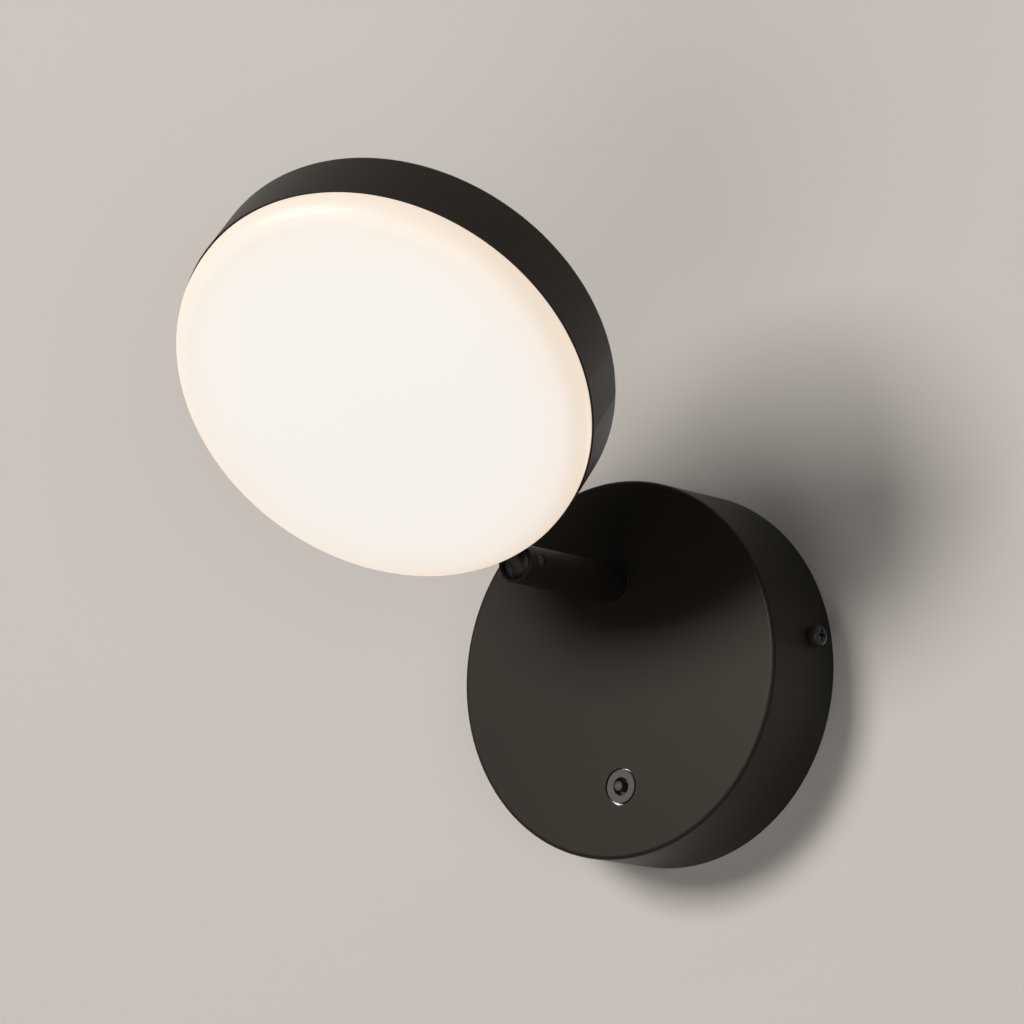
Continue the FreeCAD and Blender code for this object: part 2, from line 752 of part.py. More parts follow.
def make_terminal_block():
    """Moulded block with brass sleeves, clamp screws and one fixing screw."""
    block = piece("terminal_block", WALL)
    right = d.terminal_left + terminal_width
    pad(block, "XZ_Plane", [box(d.terminal_left, d.terminal_bottom, right, terminal_top)],
        d.bracket_thickness, d.terminal_depth)
    rounded(block, line_along(Vector(0, 0, 1), lambda at: near(at.y, -terminal_front.value)), d.sleeve_inset)
    bore = cut(block, "XY_Plane", [circle(first_pole, -sleeve_depth, d.sleeve_radius + d.press_gap)],
               d.terminal_bottom - d.sleeve_inset, d.terminal_height + d.sleeve_inset * 2)
    well = cut(block, "XZ_Plane", [circle(first_pole, terminal_middle + side * d.clamp_screw_spread,
                                          d.clamp_screw_radius + d.clearance_hole_gap) for side in (-1, 1)],
               sleeve_depth, d.terminal_depth)
    row(block, "X_Axis", d.terminal_poles, pole_span, [bore, well])
    cut(block, "XZ_Plane", [circle(terminal_screw_right, terminal_middle,
                                   d.fixing_screw_radius + d.press_gap)], 0, terminal_front * 1.5)
    cut(block, "XZ_Plane", [circle(terminal_screw_right, terminal_middle,
                                   d.fixing_head_radius + d.press_gap)],
        terminal_front - d.fixing_head_height, d.fixing_head_height * 2)

    sleeves = piece("terminal_sleeves", WALL)
    low = d.terminal_bottom + d.sleeve_inset
    length = d.terminal_height - d.sleeve_inset * 2
    tube = pad(sleeves, "XY_Plane", [circle(first_pole, -sleeve_depth, d.sleeve_radius),
                                     circle(first_pole, -sleeve_depth, d.sleeve_bore_radius)], low, length)
    taps = cut(sleeves, "XZ_Plane", [circle(first_pole, terminal_middle + side * d.clamp_screw_spread,
                                            d.clamp_screw_radius + d.thread_gap) for side in (-1, 1)],
               sleeve_depth, d.sleeve_radius * 2)
    row(sleeves, "X_Axis", d.terminal_poles, pole_span, [tube, taps])

    screws = piece("terminal_screws", WALL)
    stud = pad(screws, "XZ_Plane", [circle(first_pole, terminal_middle + side * d.clamp_screw_spread,
                                           d.clamp_screw_radius) for side in (-1, 1)],
               clamp_tip, d.clamp_screw_length)
    row(screws, "X_Axis", d.terminal_poles, pole_span, [stud])

    fixing = piece("terminal_fixing_screw", shift(right=terminal_screw_right, up=terminal_middle))
    seat = terminal_front - d.fixing_head_height
    pan_screw(fixing, seat, d.fixing_head_radius, d.fixing_head_height, d.fixing_screw_radius,
              seat - d.screw_end_gap)


# ---- earth point -------------------------------------------------------------------------------------------

barrel_radius = d.mains_lead_radius + d.lead_gap + d.eyelet_barrel_wall
barrel_depth = d.bracket_thickness + barrel_radius + d.lead_gap
barrel_low = d.earth_head_radius + d.clearance_hole_gap


def make_earth_point():
    """Screw and crimped eyelet that join the earth lead to the bracket."""
    frame = shift(right=-d.earth_offset, up=d.earth_height)
    seat = d.bracket_thickness + d.eyelet_thickness
    screw = piece("earth_screw", frame)
    pan_screw(screw, seat, d.earth_head_radius, d.earth_head_height, d.earth_screw_radius,
              seat - d.screw_end_gap)
    eyelet = piece("earth_eyelet", frame)
    pad(eyelet, "XZ_Plane", [circle(0, 0, d.eyelet_radius)], d.bracket_thickness, d.eyelet_thickness)
    pad(eyelet, "XY_Plane", [circle(0, -barrel_depth, barrel_radius)], barrel_low, d.eyelet_barrel_length)
    cut(eyelet, "XY_Plane", [circle(0, -barrel_depth, d.mains_lead_radius + d.lead_gap)],
        barrel_low - d.eyelet_barrel_wall, d.eyelet_barrel_length * 2)
    cut(eyelet, "XZ_Plane", [circle(0, 0, d.earth_screw_radius + d.thread_gap)], 0, seat * 2)


# ---- push switch -------------------------------------------------------------------------------------------

plate_back = face_inside - d.switch_plate_thickness
flange_back = plate_back - d.switch_flange_thickness
housing_back = flange_back - d.switch_body_depth
collar_front = plate_back - d.switch_front_wall
base_back = housing_back - d.switch_base_thickness
spring_seat = housing_back + d.switch_seat_height
collar_face = collar_front - d.plunger_gap
spring_front = collar_face - d.plunger_collar_length


def make_switch():
    """Small push switch behind the face: flush bezel, housing, base, tags and the plate that carries it."""
    plate = piece("switch_plate", BUTTON)
    wide, high = d.switch_plate_half_width, d.switch_plate_half_height
    pad(plate, "XZ_Plane", [box(-wide, -high, wide, high)], plate_back, d.switch_plate_thickness)
    tap = d.switch_screw_radius + d.thread_gap
    cut(plate, "XZ_Plane", [circle(0, 0, d.bezel_radius + d.bezel_gap),
                            circle(d.switch_screw_offset, 0, tap), circle(-d.switch_screw_offset, 0, tap)],
        plate_back - d.switch_plate_thickness, d.switch_plate_thickness * THROUGH)

    bezel = piece("switch_bezel", BUTTON)
    revolve(bezel, [tube_profile(d.bezel_bore_radius, d.bezel_radius, plate_back, d.canopy_depth)])
    chamfered(bezel, rim_at(d.bezel_bore_radius, d.canopy_depth), d.plunger_tip_chamfer)

    housing = piece("switch_housing", BUTTON)
    wide, high = d.switch_flange_half_width, d.switch_flange_half_height
    pad(housing, "XZ_Plane", [box(-wide, -high, wide, high)], flange_back, d.switch_flange_thickness)
    half = d.switch_half_size
    pad(housing, "XZ_Plane", [box(-half, -half, half, half)], housing_back,
        d.switch_body_depth + d.switch_flange_thickness)
    rounded(housing, line_along(Vector(0, 1, 0), lambda at: near(abs(at.x), half.value)
                                and near(abs(at.z), half.value)), d.switch_front_wall / 2)
    cut(housing, "XZ_Plane", [circle(0, 0, d.switch_chamber_radius)],
        housing_back - d.switch_front_wall, collar_front - housing_back + d.switch_front_wall)
    cut(housing, "XZ_Plane", [circle(0, 0, d.plunger_radius + d.plunger_gap)],
        housing_back, plate_back - housing_back + d.switch_front_wall)
    hole = d.switch_screw_radius + d.clearance_hole_gap
    cut(housing, "XZ_Plane", [circle(d.switch_screw_offset, 0, hole),
                              circle(-d.switch_screw_offset, 0, hole)],
        flange_back - d.switch_flange_thickness, d.switch_flange_thickness * THROUGH)

    base = piece("switch_base", BUTTON)
    pad(base, "XZ_Plane", [box(-half, -half, half, half)], base_back, d.switch_base_thickness)
    pad(base, "XZ_Plane", [circle(0, 0, d.switch_chamber_radius - d.switch_seat_gap)],
        housing_back, d.switch_seat_height)

    tags = piece("switch_tags", BUTTON)
    left, right = d.tag_offset - d.tag_thickness / 2, d.tag_offset + d.tag_thickness / 2
    blade = pad(tags, "XZ_Plane", [box(left, -d.tag_width / 2, right, d.tag_width / 2)],
                base_back - d.tag_length, d.tag_length)
    mirror(tags, [blade])

    screws = piece("switch_screws", BUTTON)
    inward_screw_pair(screws)


def inward_screw_pair(body):
    """Two small screws whose heads lie behind the flange and whose shanks run towards the face."""
    offset = d.switch_screw_offset
    head = pad(body, "XZ_Plane", [circle(offset, 0, d.switch_screw_head_radius)],
               flange_back - d.switch_screw_head_height, d.switch_screw_head_height)
    shank = pad(body, "XZ_Plane", [circle(offset, 0, d.switch_screw_radius)],
                flange_back, face_inside - flange_back - d.thread_gap)
    mirror(body, [head, shank])


def make_switch_button():
    """Plunger: a stem through the bezel, a collar that stops it and a tail inside the spring."""
    body = piece("switch_button", BUTTON)
    tip = d.canopy_depth + d.plunger_projection
    # pushed right in, the tail lands on the base
    tail = spring_seat + d.plunger_travel + d.plunger_gap
    revolve(body, [outline((0, -tip), (d.plunger_radius, -tip), (d.plunger_radius, -collar_face),
                           (d.plunger_collar_radius, -collar_face), (d.plunger_collar_radius, -spring_front),
                           (d.plunger_tail_radius, -spring_front), (d.plunger_tail_radius, -tail),
                           (0, -tail))])
    rounded(body, rim_at(d.plunger_radius, tip), d.plunger_tip_chamfer)


def make_switch_spring():
    """Return spring between the collar and the base, one unbroken helix."""
    body = piece("switch_spring", BUTTON)
    wire = d.spring_wire_radius
    length = spring_front - spring_seat - wire * 2
    sketch = draw(body, "XY_Plane", [circle(d.spring_radius, -(spring_seat + wire), wire)])
    coil = body.newObject("PartDesign::AdditiveHelix", body.Label + "_coil")
    coil.Profile = sketch
    coil.ReferenceAxis = (sketch, ["V_Axis"])
    coil.Mode = "height-turns-angle"
    coil.setExpression("Height", length.formula)
    coil.setExpression("Turns", d.spring_turns.formula)
    coil.Reversed = True
    DOC.recompute()


# ---- swivel of the arm -------------------------------------------------------------------------------------

tube_base = d.canopy_depth + d.bush_flange_thickness + d.running_gap
slip_back = face_inside - d.slip_washer_thickness
stop_front = slip_back - d.running_gap
stop_back = stop_front - d.stop_washer_thickness
spring_back = stop_back - d.spring_washer_thickness - d.spring_washer_dish
nut_back = spring_back - d.nut_thickness
nipple_back = d.canopy_depth - d.nipple_reach
arm_bore = d.arm_radius - d.arm_wall


def make_swivel():
    """Bush and washers in the can's face, and the nipple, stop washer, spring washer and nut that turn."""
    bush = piece("swivel_bush", ARM_AXIS)
    inside = d.nipple_thread_radius + d.running_gap
    flange = d.canopy_depth + d.bush_flange_thickness
    revolve(bush, [outline((inside, -flange), (d.arm_radius, -flange), (d.arm_radius, -d.canopy_depth),
                           (d.bush_sleeve_radius, -d.canopy_depth), (d.bush_sleeve_radius, -face_inside),
                           (inside, -face_inside))])

    slip = piece("slip_washer", ARM_AXIS)
    revolve(slip, [tube_profile(inside, d.slip_washer_radius, slip_back, face_inside)])

    stop_pin = piece("swivel_stop", shift(up=d.arm_height - d.stop_pin_orbit))
    pad(stop_pin, "XZ_Plane", [circle(0, 0, d.stop_pin_radius)], face_inside - d.stop_pin_length,
        d.stop_pin_length)

    nipple = piece("arm_nipple", ARM)
    grip = tube_base + d.nipple_grip
    plug = arm_bore - d.press_gap
    revolve(nipple, [outline((d.nipple_bore_radius, -grip), (plug, -grip), (plug, -tube_base),
                             (d.nipple_thread_radius, -tube_base), (d.nipple_thread_radius, -nipple_back),
                             (d.nipple_bore_radius, -nipple_back))])

    seat = d.nipple_thread_radius + d.press_gap
    stop = piece("stop_washer", ARM)
    pad(stop, "XZ_Plane", [circle(0, 0, d.stop_washer_radius)], stop_back, d.stop_washer_thickness)
    pad(stop, "XZ_Plane", [box(-d.stop_tab_half_width, seat, d.stop_tab_half_width, d.stop_tab_reach)],
        stop_back, d.stop_washer_thickness)
    cut(stop, "XZ_Plane", [circle(0, 0, seat)], stop_back - d.stop_washer_thickness,
        d.stop_washer_thickness * THROUGH)

    spring = piece("spring_washer", ARM)
    dish, thick = d.spring_washer_dish, d.spring_washer_thickness
    revolve(spring, [outline((seat, -(spring_back + thick)), (d.spring_washer_radius, -stop_back),
                             (d.spring_washer_radius, -(stop_back - thick)), (seat, -spring_back))])

    nut = piece("arm_nut", ARM)
    corner = d.nut_across_flats / math.sqrt(3)
    corners = [(corner * math.cos(math.radians(60 * n)), corner * math.sin(math.radians(60 * n)))
               for n in range(6)]
    pad(nut, "XZ_Plane", [outline(*corners)], nut_back, d.nut_thickness)
    cut(nut, "XZ_Plane", [circle(0, 0, seat)], nut_back - d.nut_thickness, d.nut_thickness * THROUGH)


# ---- arm and knuckle ---------------------------------------------------------------------------------------

tongue_half = d.tongue_thickness / 2
fork_slot_half = tongue_half + d.running_gap * 2 + d.hinge_washer_thickness
fork_slot_depth = pivot_depth - d.tongue_half_width - d.fork_slot_end_gap


def make_arm_tube():
    """Straight tube, slotted at the top of its open end so that the tongue can stand up in it."""
    body = piece("arm_tube", ARM)
    revolve(body, [tube_profile(arm_bore, d.arm_radius, tube_base, d.arm_end_depth)])
    chamfered(body, rim_at(d.arm_radius, d.arm_end_depth), d.arm_rim_chamfer)
    chamfered(body, rim_at(arm_bore, d.arm_end_depth), d.arm_rim_chamfer)
    half = tongue_half + d.tube_slot_gap
    back = -(pivot_depth - d.tongue_half_width - d.tube_slot_end_gap) - half
    beyond = -d.arm_end_depth - d.arm_wall
    cut(body, "XY_Plane", [outline((-half, beyond), (half, beyond), (half, back, (as_size(0), back)),
                                   (-half, back))], 0, d.arm_radius * 2)
    cut(body, "YZ_Plane", [circle(-pivot_depth, 0, d.pin_radius + d.press_gap)],
        -d.arm_radius * 2, d.arm_radius * 4)


def make_knuckle():
    """Slotted plug in the tube's end, the cross pin and its two washers."""
    fork = piece("fork_insert", ARM)
    front = d.arm_end_depth - d.fork_inset
    back = front - d.fork_length
    bore = d.lamp_lead_radius + d.lead_gap
    revolve(fork, [tube_profile(bore, arm_bore - d.press_gap, back, front)])
    cut(fork, "XY_Plane", [box(-fork_slot_half, -front - d.fork_inset, fork_slot_half, -fork_slot_depth)],
        -d.arm_radius, d.arm_radius * 2)
    cut(fork, "YZ_Plane", [circle(-pivot_depth, 0, d.pin_radius + d.press_gap)],
        -d.arm_radius * 2, d.arm_radius * 4)

    pin = piece("hinge_pin", KNUCKLE)
    reach = d.arm_radius - d.pin_end_inset
    pad(pin, "YZ_Plane", [circle(0, 0, d.pin_radius)], -reach, reach * 2)
    chamfered(pin, lambda edge: isinstance(curve_of(edge), Part.Circle), d.pin_end_inset)

    washers = piece("hinge_washers", KNUCKLE)
    washer = pad(washers, "YZ_Plane", [circle(0, 0, d.hinge_washer_radius),
                                       circle(0, 0, d.pin_radius + d.running_gap)],
                 tongue_half + d.running_gap, d.hinge_washer_thickness)
    mirror(washers, [washer])


# ---- head --------------------------------------------------------------------------------------------------

shell_inner = d.head_radius - d.head_wall
half_depth = d.head_depth / 2
board_radius = shell_inner - d.board_edge_gap
DIAGONAL = math.sqrt(0.5)
standoff_place = (board_radius - d.standoff_inset) * DIAGONAL
chip_orbit_step = (board_radius - d.chip_inset) / d.chip_rings
connector_orbit = board_radius - d.connector_inset
reflector_throat = board_radius - d.reflector_inset
rear_inside = -(half_depth - d.head_wall)
board_back = rear_inside + d.standoff_height
board_front = board_back + d.board_thickness
ring_radius = shell_inner - d.foot_thickness - d.inner_gap * 2
lead_lane = board_back - d.connector_height / 2


def make_head_shell():
    """Shallow pan, open at the front, with the slot that the tongue comes through."""
    body = piece("head_shell", HEAD)
    inside = half_depth - d.head_wall
    revolve(body, [outline((0, half_depth), (0, inside), (shell_inner, inside), (shell_inner, -half_depth),
                           (d.head_radius, -half_depth), (d.head_radius, half_depth))])
    rounded(body, rim_at(d.head_radius, -half_depth), d.head_edge_radius)
    wide, high = tongue_half + d.slot_gap, d.tongue_half_width + d.slot_gap
    cut(body, "XZ_Plane", [box(-wide, -d.head_radius - d.head_wall,
                               wide, -d.head_radius + d.head_wall * THROUGH)],
        -high, high * 2)


def make_hinge_tongue():
    """Folded tongue, open at the back for the lead, with a curved foot welded inside the shell."""
    body = piece("hinge_tongue", TONGUE)
    wide = d.tongue_half_width
    foot_outer = shell_inner - d.press_gap
    foot_inner = shell_inner - d.foot_thickness
    top = head_offset - foot_inner
    pad(body, "YZ_Plane", [outline((-wide, 0, (as_size(0), as_size(0))), (wide, 0), (wide, top),
                                   (-wide, top))],
        -tongue_half, d.tongue_thickness)
    across = d.foot_half_width
    low = head_offset - root(foot_outer * foot_outer - across * across)
    high = head_offset - root(foot_inner * foot_inner - across * across)
    centre = (as_size(0), head_offset)
    foot = outline((-across, low, centre), (across, low), (across, high, centre, "clockwise"),
                   (-across, high))
    pad(body, "XZ_Plane", [foot], -d.foot_half_height, d.foot_half_height * 2)
    channel = tongue_half - d.tongue_cheek
    cut(body, "XY_Plane", [box(-channel, -(wide - d.tongue_web), channel, wide * 2)],
        -wide * 2, top + wide * 3)
    cut(body, "YZ_Plane", [circle(0, 0, d.pin_radius + d.running_gap)], -d.tongue_thickness,
        d.tongue_thickness * 2)


def make_board():
    """Metal-backed board on standoffs, with its chips, screws and connector."""
    standoffs = piece("board_standoffs", HEAD)
    post = pad(standoffs, "XZ_Plane", [circle(standoff_place, standoff_place, d.standoff_radius),
                                       circle(standoff_place, standoff_place, tapped_small)],
               rear_inside, d.standoff_height)
    ring(standoffs, d.standoff_count, [post])

    board = piece("led_board", HEAD)
    pad(board, "XZ_Plane", [circle(0, 0, board_radius)], board_back, d.board_thickness)
    notch = d.board_notch_half_width
    cut(board, "XZ_Plane", [box(-notch, -board_radius * PAST, notch, -board_radius + d.board_notch_depth)],
        board_back - d.board_thickness, d.board_thickness * THROUGH)
    clearance = d.small_screw_radius + d.clearance_hole_gap
    hole = cut(board, "XZ_Plane", [circle(standoff_place, standoff_place, clearance)],
               board_back - d.board_thickness, d.board_thickness * THROUGH)
    ring(board, d.standoff_count, [hole])

    chips = piece("led_chips", HEAD)
    for number in range(1, int(d.chip_rings.value) + 1):
        orbit = chip_orbit_step * number
        chip = pad(chips, "XZ_Plane", [box(-d.chip_width / 2, orbit - d.chip_length / 2, d.chip_width / 2,
                                           orbit + d.chip_length / 2)], board_front, d.chip_height)
        ring(chips, d.chips_per_ring * number, [chip])

    screws = piece("board_screws", HEAD)
    shank = pad(screws, "XZ_Plane", [circle(standoff_place, standoff_place, d.small_screw_radius)],
                board_front - d.board_screw_length, d.board_screw_length)
    head = pad(screws, "XZ_Plane", [circle(standoff_place, standoff_place, d.small_head_radius)],
               board_front, d.board_head_height)
    ring(screws, d.standoff_count, [shank, head])

    connector = piece("board_connector", HEAD)
    wide, low = d.connector_half_width, -(connector_orbit + d.connector_length)
    pad(connector, "XZ_Plane", [box(-wide, low, wide, low + d.connector_length)],
        board_back - d.connector_height, d.connector_height)
    cut(connector, "XY_Plane", [circle(0, -lead_lane, d.lamp_lead_radius + d.lead_gap)],
        low - d.connector_height, d.connector_height + d.connector_length / 2)


def make_reflector():
    """White ring whose cone throws the light forward, standing on the board."""
    body = piece("reflector", HEAD)
    outer = ring_radius - d.skirt_thickness - d.inner_gap
    wall = d.reflector_wall
    top = half_depth - d.reflector_top_gap
    seat = board_front
    revolve(body, [outline((reflector_throat, -seat), (outer - wall * CONE_RIM, -top), (outer, -top),
                           (outer, -seat), (outer - wall, -seat), (outer - wall, -(top - wall * CONE_TOP)),
                           (reflector_throat + wall * CONE_FOOT, -seat))])


def make_diffuser():
    """Opal cover: a skirt inside the shell, a lip on its edge and a slightly crowned front with a broad round
    edge."""
    body = piece("diffuser", HEAD)
    rim = half_depth
    lip = shell_inner + d.lip_width
    step = shell_inner - d.inner_gap
    skirt_in = ring_radius - d.skirt_thickness
    edge_front = rim + d.diffuser_edge_height
    crown = edge_front + d.diffuser_crown
    thick = d.diffuser_thickness
    # the crowned front and its inside are spheres about one centre behind the lamp
    sphere = (lip * lip + d.diffuser_crown * d.diffuser_crown) / (d.diffuser_crown * 2)
    centre = (as_size(0), sphere - crown)
    hollow = sphere - thick
    inner_edge = root(hollow * hollow - skirt_in * skirt_in) - centre[1]
    revolve(body, [outline((0, -crown, centre), (lip, -edge_front), (lip, -rim), (step, -rim),
                           (step, -(rim - d.lip_step)), (ring_radius, -(rim - d.lip_step)),
                           (ring_radius, -(rim - d.skirt_reach)), (skirt_in, -(rim - d.skirt_reach)),
                           (skirt_in, -inner_edge, centre, "clockwise"), (0, -(crown - thick)))])
    rounded(body, rim_at(lip, edge_front), d.diffuser_edge_radius)
    rounded(body, rim_at(skirt_in, inner_edge), d.diffuser_edge_radius - thick)


# ---- leads -------------------------------------------------------------------------------------------------

def bent_path(points):
    """Straight runs joined by tangent arcs, each as large as its two runs allow."""
    edges = []
    start = points[0]
    for number in range(1, len(points) - 1):
        before, corner, after = points[number - 1], points[number], points[number + 1]
        into = (corner - before).normalize()
        out = (after - corner).normalize()
        reach = 0.45 * min((corner - before).Length, (after - corner).Length)
        turn = into.getAngle(out)
        radius = reach / math.tan(turn / 2)
        first, last = corner - into * reach, corner + out * reach
        inward = (out - into).normalize()
        middle = corner + inward * (radius / math.cos(turn / 2) - radius)
        edges.append(Part.LineSegment(start, first).toShape())
        edges.append(Part.Arc(first, middle, last).toShape())
        start = last
    edges.append(Part.LineSegment(start, points[-1]).toShape())
    return Part.Wire(edges)


def lead(label, frame, radius, route):
    """A round lead along a route of points, each given as right, depth and up."""
    points = [Vector(as_size(x).value, -as_size(depth).value, as_size(z).value) for x, depth, z in route]
    path = bent_path(points)
    aim = points[1] - points[0]
    section = Part.Wire([Part.Circle(points[0], aim, radius.value).toShape()])
    tube = path.makePipeShell([section], True, False)
    wanted = math.pi * radius.value ** 2 * path.Length
    if abs(tube.Volume - wanted) > 0.01 * wanted:
        raise RuntimeError(f"{label}: volume {tube.Volume:.1f}, expected {wanted:.1f}")
    feature = DOC.addObject("Part::Feature", label)
    feature.Label = label
    feature.Shape = tube
    feature.setExpression("Placement", frame)
    PIECES.append(feature)


def make_leads():
    """The insulated leads inside the can, the arm and the head, each through points chosen by hand."""
    wire, thin = d.mains_lead_radius, d.lamp_lead_radius
    pole = [first_pole + d.terminal_pitch * n for n in range(int(d.terminal_poles.value))]
    in_sleeve = d.terminal_bottom + d.terminal_height * 0.2
    below = d.terminal_bottom - d.terminal_height * 0.4
    tag_side = d.tag_offset + d.tag_thickness / 2
    tag_depth = base_back - d.tag_length / 2
    port_outside = driver_half - d.driver_wall * 0.5
    row_depth = lead_port_depth
    live = [(pole[2], sleeve_depth, in_sleeve), (pole[2], sleeve_depth, below),
            (pole[2], row_depth, -d.driver_drop), (driver_half, tag_depth, -d.button_drop),
            (tag_side, tag_depth, -d.button_drop)]
    lead("live_lead", WALL, wire, live)
    switched = [(-tag_side, tag_depth, -d.button_drop), (-driver_half, tag_depth, -d.button_drop),
                (-driver_half * 1.4, row_depth, -d.button_drop * 0.6),
                (-driver_half * 1.3, row_depth, lead_port_height),
                (-port_outside, row_depth, lead_port_height)]
    lead("switched_lead", WALL, wire, switched)
    neutral = [(pole[1], sleeve_depth, in_sleeve), (pole[1], sleeve_depth, below),
               (pole[1], row_depth, lead_port_height), (port_outside, row_depth, lead_port_height)]
    lead("neutral_lead", WALL, wire, neutral)
    sleeve_high = terminal_top - d.terminal_height * 0.2
    earth = [(pole[0], sleeve_depth, sleeve_high), (pole[0], sleeve_depth, terminal_top + wire * 7),
             (0, sleeve_depth, d.canopy_radius * 0.75),
             (-d.earth_offset, barrel_depth, d.earth_height + barrel_low + d.eyelet_barrel_length * 2.2),
             (-d.earth_offset, barrel_depth, d.earth_height + barrel_low + d.eyelet_barrel_wall)]
    lead("earth_lead", WALL, wire, earth)
    output = [(output_port_left, lead_port_depth, driver_top - d.driver_wall * 0.5),
              (output_port_left, lead_port_depth, d.terminal_bottom),
              (output_port_left * 0.6, sleeve_depth, d.arm_height - d.stop_tab_half_width * 2),
              (0, sleeve_depth, d.arm_height), (0, nipple_back - d.lead_end_gap, d.arm_height)]
    lead("output_lead", WALL, thin, output)
    straight = [(0, nipple_back, 0), (0, fork_slot_depth - d.lead_end_gap, 0)]
    lead("arm_lead", ARM, thin, straight)
    lane_start = -(d.tongue_half_width - thin - d.lead_gap * 2)
    entry = -(connector_orbit + d.connector_length)
    head_route = [(0, lane_start, d.pin_radius + thin * 1.6), (0, lane_start, d.head_gap + d.head_wall * 3),
                  (0, lead_lane, d.head_gap + d.head_wall * 6),
                  (0, lead_lane, head_offset + entry + d.connector_length * 0.3)]
    lead("head_lead", TONGUE, thin, head_route)


# ---- the whole light ---------------------------------------------------------------------------------------

def check_document():
    """Stop if any object failed or any sub-part is empty or broken."""
    for item in DOC.Objects:
        if "Invalid" in item.State or "Error" in item.State:
            raise RuntimeError(f"{item.Label}: {item.State}")
    for item in PIECES:
        if item.Shape.isNull() or not item.Shape.isValid() or not item.Shape.Solids:
            raise RuntimeError(f"{item.Label}: no valid solid")


def write_parts():
    """One STEP file for each sub-part, named after its label."""
    os.makedirs("parts", exist_ok=True)
    for item in PIECES:
        item.Shape.exportStep(f"parts/{item.Label}.step")
        print(f"{item.Label}: {len(item.Shape.Solids)} solids, {item.Shape.Volume:.1f} mm3")


MAKERS = (make_canopy_shell, make_wall_bracket, make_side_screws, make_cable_bush, make_driver,
          make_terminal_block, make_earth_point, make_switch, make_switch_button, make_switch_spring,
          make_swivel, make_arm_tube, make_knuckle, make_head_shell, make_hinge_tongue, make_board,
          make_reflector, make_diffuser, make_leads)

for maker in MAKERS:
    maker()
DOC.recompute()
check_document()
write_parts()
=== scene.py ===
"""Pivoting spotlight wall light, dressed over its solid model.

A powder-coated canopy and head, a turned opal front that glows, a slotted arm with its hinge, a push
button and the parts behind the canopy. Lengths are in metres. Frame: +Z up, the wall is the plane y = 0 and
the room is at -Y. Depths are counted from the wall towards the room.
"""

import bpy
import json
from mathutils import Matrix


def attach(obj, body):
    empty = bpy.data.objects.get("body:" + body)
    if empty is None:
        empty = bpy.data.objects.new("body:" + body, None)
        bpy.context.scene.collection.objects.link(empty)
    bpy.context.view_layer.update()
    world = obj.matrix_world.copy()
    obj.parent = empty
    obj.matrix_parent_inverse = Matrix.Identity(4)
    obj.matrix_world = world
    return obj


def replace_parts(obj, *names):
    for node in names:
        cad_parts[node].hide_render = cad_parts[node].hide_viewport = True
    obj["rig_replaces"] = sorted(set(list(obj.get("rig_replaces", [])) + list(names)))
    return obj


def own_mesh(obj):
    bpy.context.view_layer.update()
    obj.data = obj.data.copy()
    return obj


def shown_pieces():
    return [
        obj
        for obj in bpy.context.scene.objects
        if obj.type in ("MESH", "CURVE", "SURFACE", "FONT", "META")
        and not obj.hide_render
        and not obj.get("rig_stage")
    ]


bl_info = {
    "name": "Pivoting Spotlight Wall Light",
    "version": (1, 0, 0),
    "blender": (4, 5, 0),
    "location": "View3D > Sidebar > Wall Light",
    "description": "Builds a round wall light with a swivelling arm, a tilting lit head and its stage",
    "category": "Object",
}

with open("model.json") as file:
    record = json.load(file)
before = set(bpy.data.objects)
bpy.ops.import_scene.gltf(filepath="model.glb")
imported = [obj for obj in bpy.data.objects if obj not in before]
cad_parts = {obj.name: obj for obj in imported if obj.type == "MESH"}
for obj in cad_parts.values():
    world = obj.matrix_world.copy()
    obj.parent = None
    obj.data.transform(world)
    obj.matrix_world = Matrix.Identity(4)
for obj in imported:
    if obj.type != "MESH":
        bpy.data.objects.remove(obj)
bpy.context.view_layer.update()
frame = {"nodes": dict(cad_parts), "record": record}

import json
import math

import bmesh
import bpy
from mathutils import Matrix, Vector

MM = 0.001
SEAM = 1e-7             # points of a turned piece that are closer than this are one
WELD = 1e-6             # the same for a copy of a solid
PAST = 1.2              # reach of a cutter through a whole piece, in radii or lengths of the piece
THROUGH = 3             # reach of a cutter through one wall, in walls
BUMP_STRENGTH = 0.6
RING_ROUGHNESS = 0.48
HEAD_ROUNDING = 0.4     # rounding of a pan head, in heights of the head
CROSS_WIDTH = 0.13      # half the width of the cross in a screw, in radii of the head
CROSS_REACH = 0.55      # half the length of the cross, in radii of the head
CROSS_FLOOR = 0.45      # height of the cross's floor, in heights of the head
SOLID_SLOTS = {entry["node"]: entry["material_slot"] for entry in frame["record"]["subparts"]}


# ---- settings --------------------------------------------------------------------------------------------

def length(name, description, millimetres):
    """A length property, with its default given in millimetres."""
    return bpy.props.FloatProperty(
        name=name, description=description, default=millimetres * MM, min=0.0, precision=4,
        subtype="DISTANCE", unit="LENGTH")


def angle(name, description, degrees):
    """An angle property, with its default given in degrees."""
    return bpy.props.FloatProperty(
        name=name, description=description, default=math.radians(degrees), subtype="ANGLE", unit="ROTATION")


def colour(name, description, values):
    """A colour property in linear RGB."""
    return bpy.props.FloatVectorProperty(
        name=name, description=description, default=values, size=3, min=0.0, max=1.0, subtype="COLOR")


def amount(name, description, value, high):
    """A plain number from 0 to high."""
    return bpy.props.FloatProperty(name=name, description=description, default=value, min=0.0, max=high)


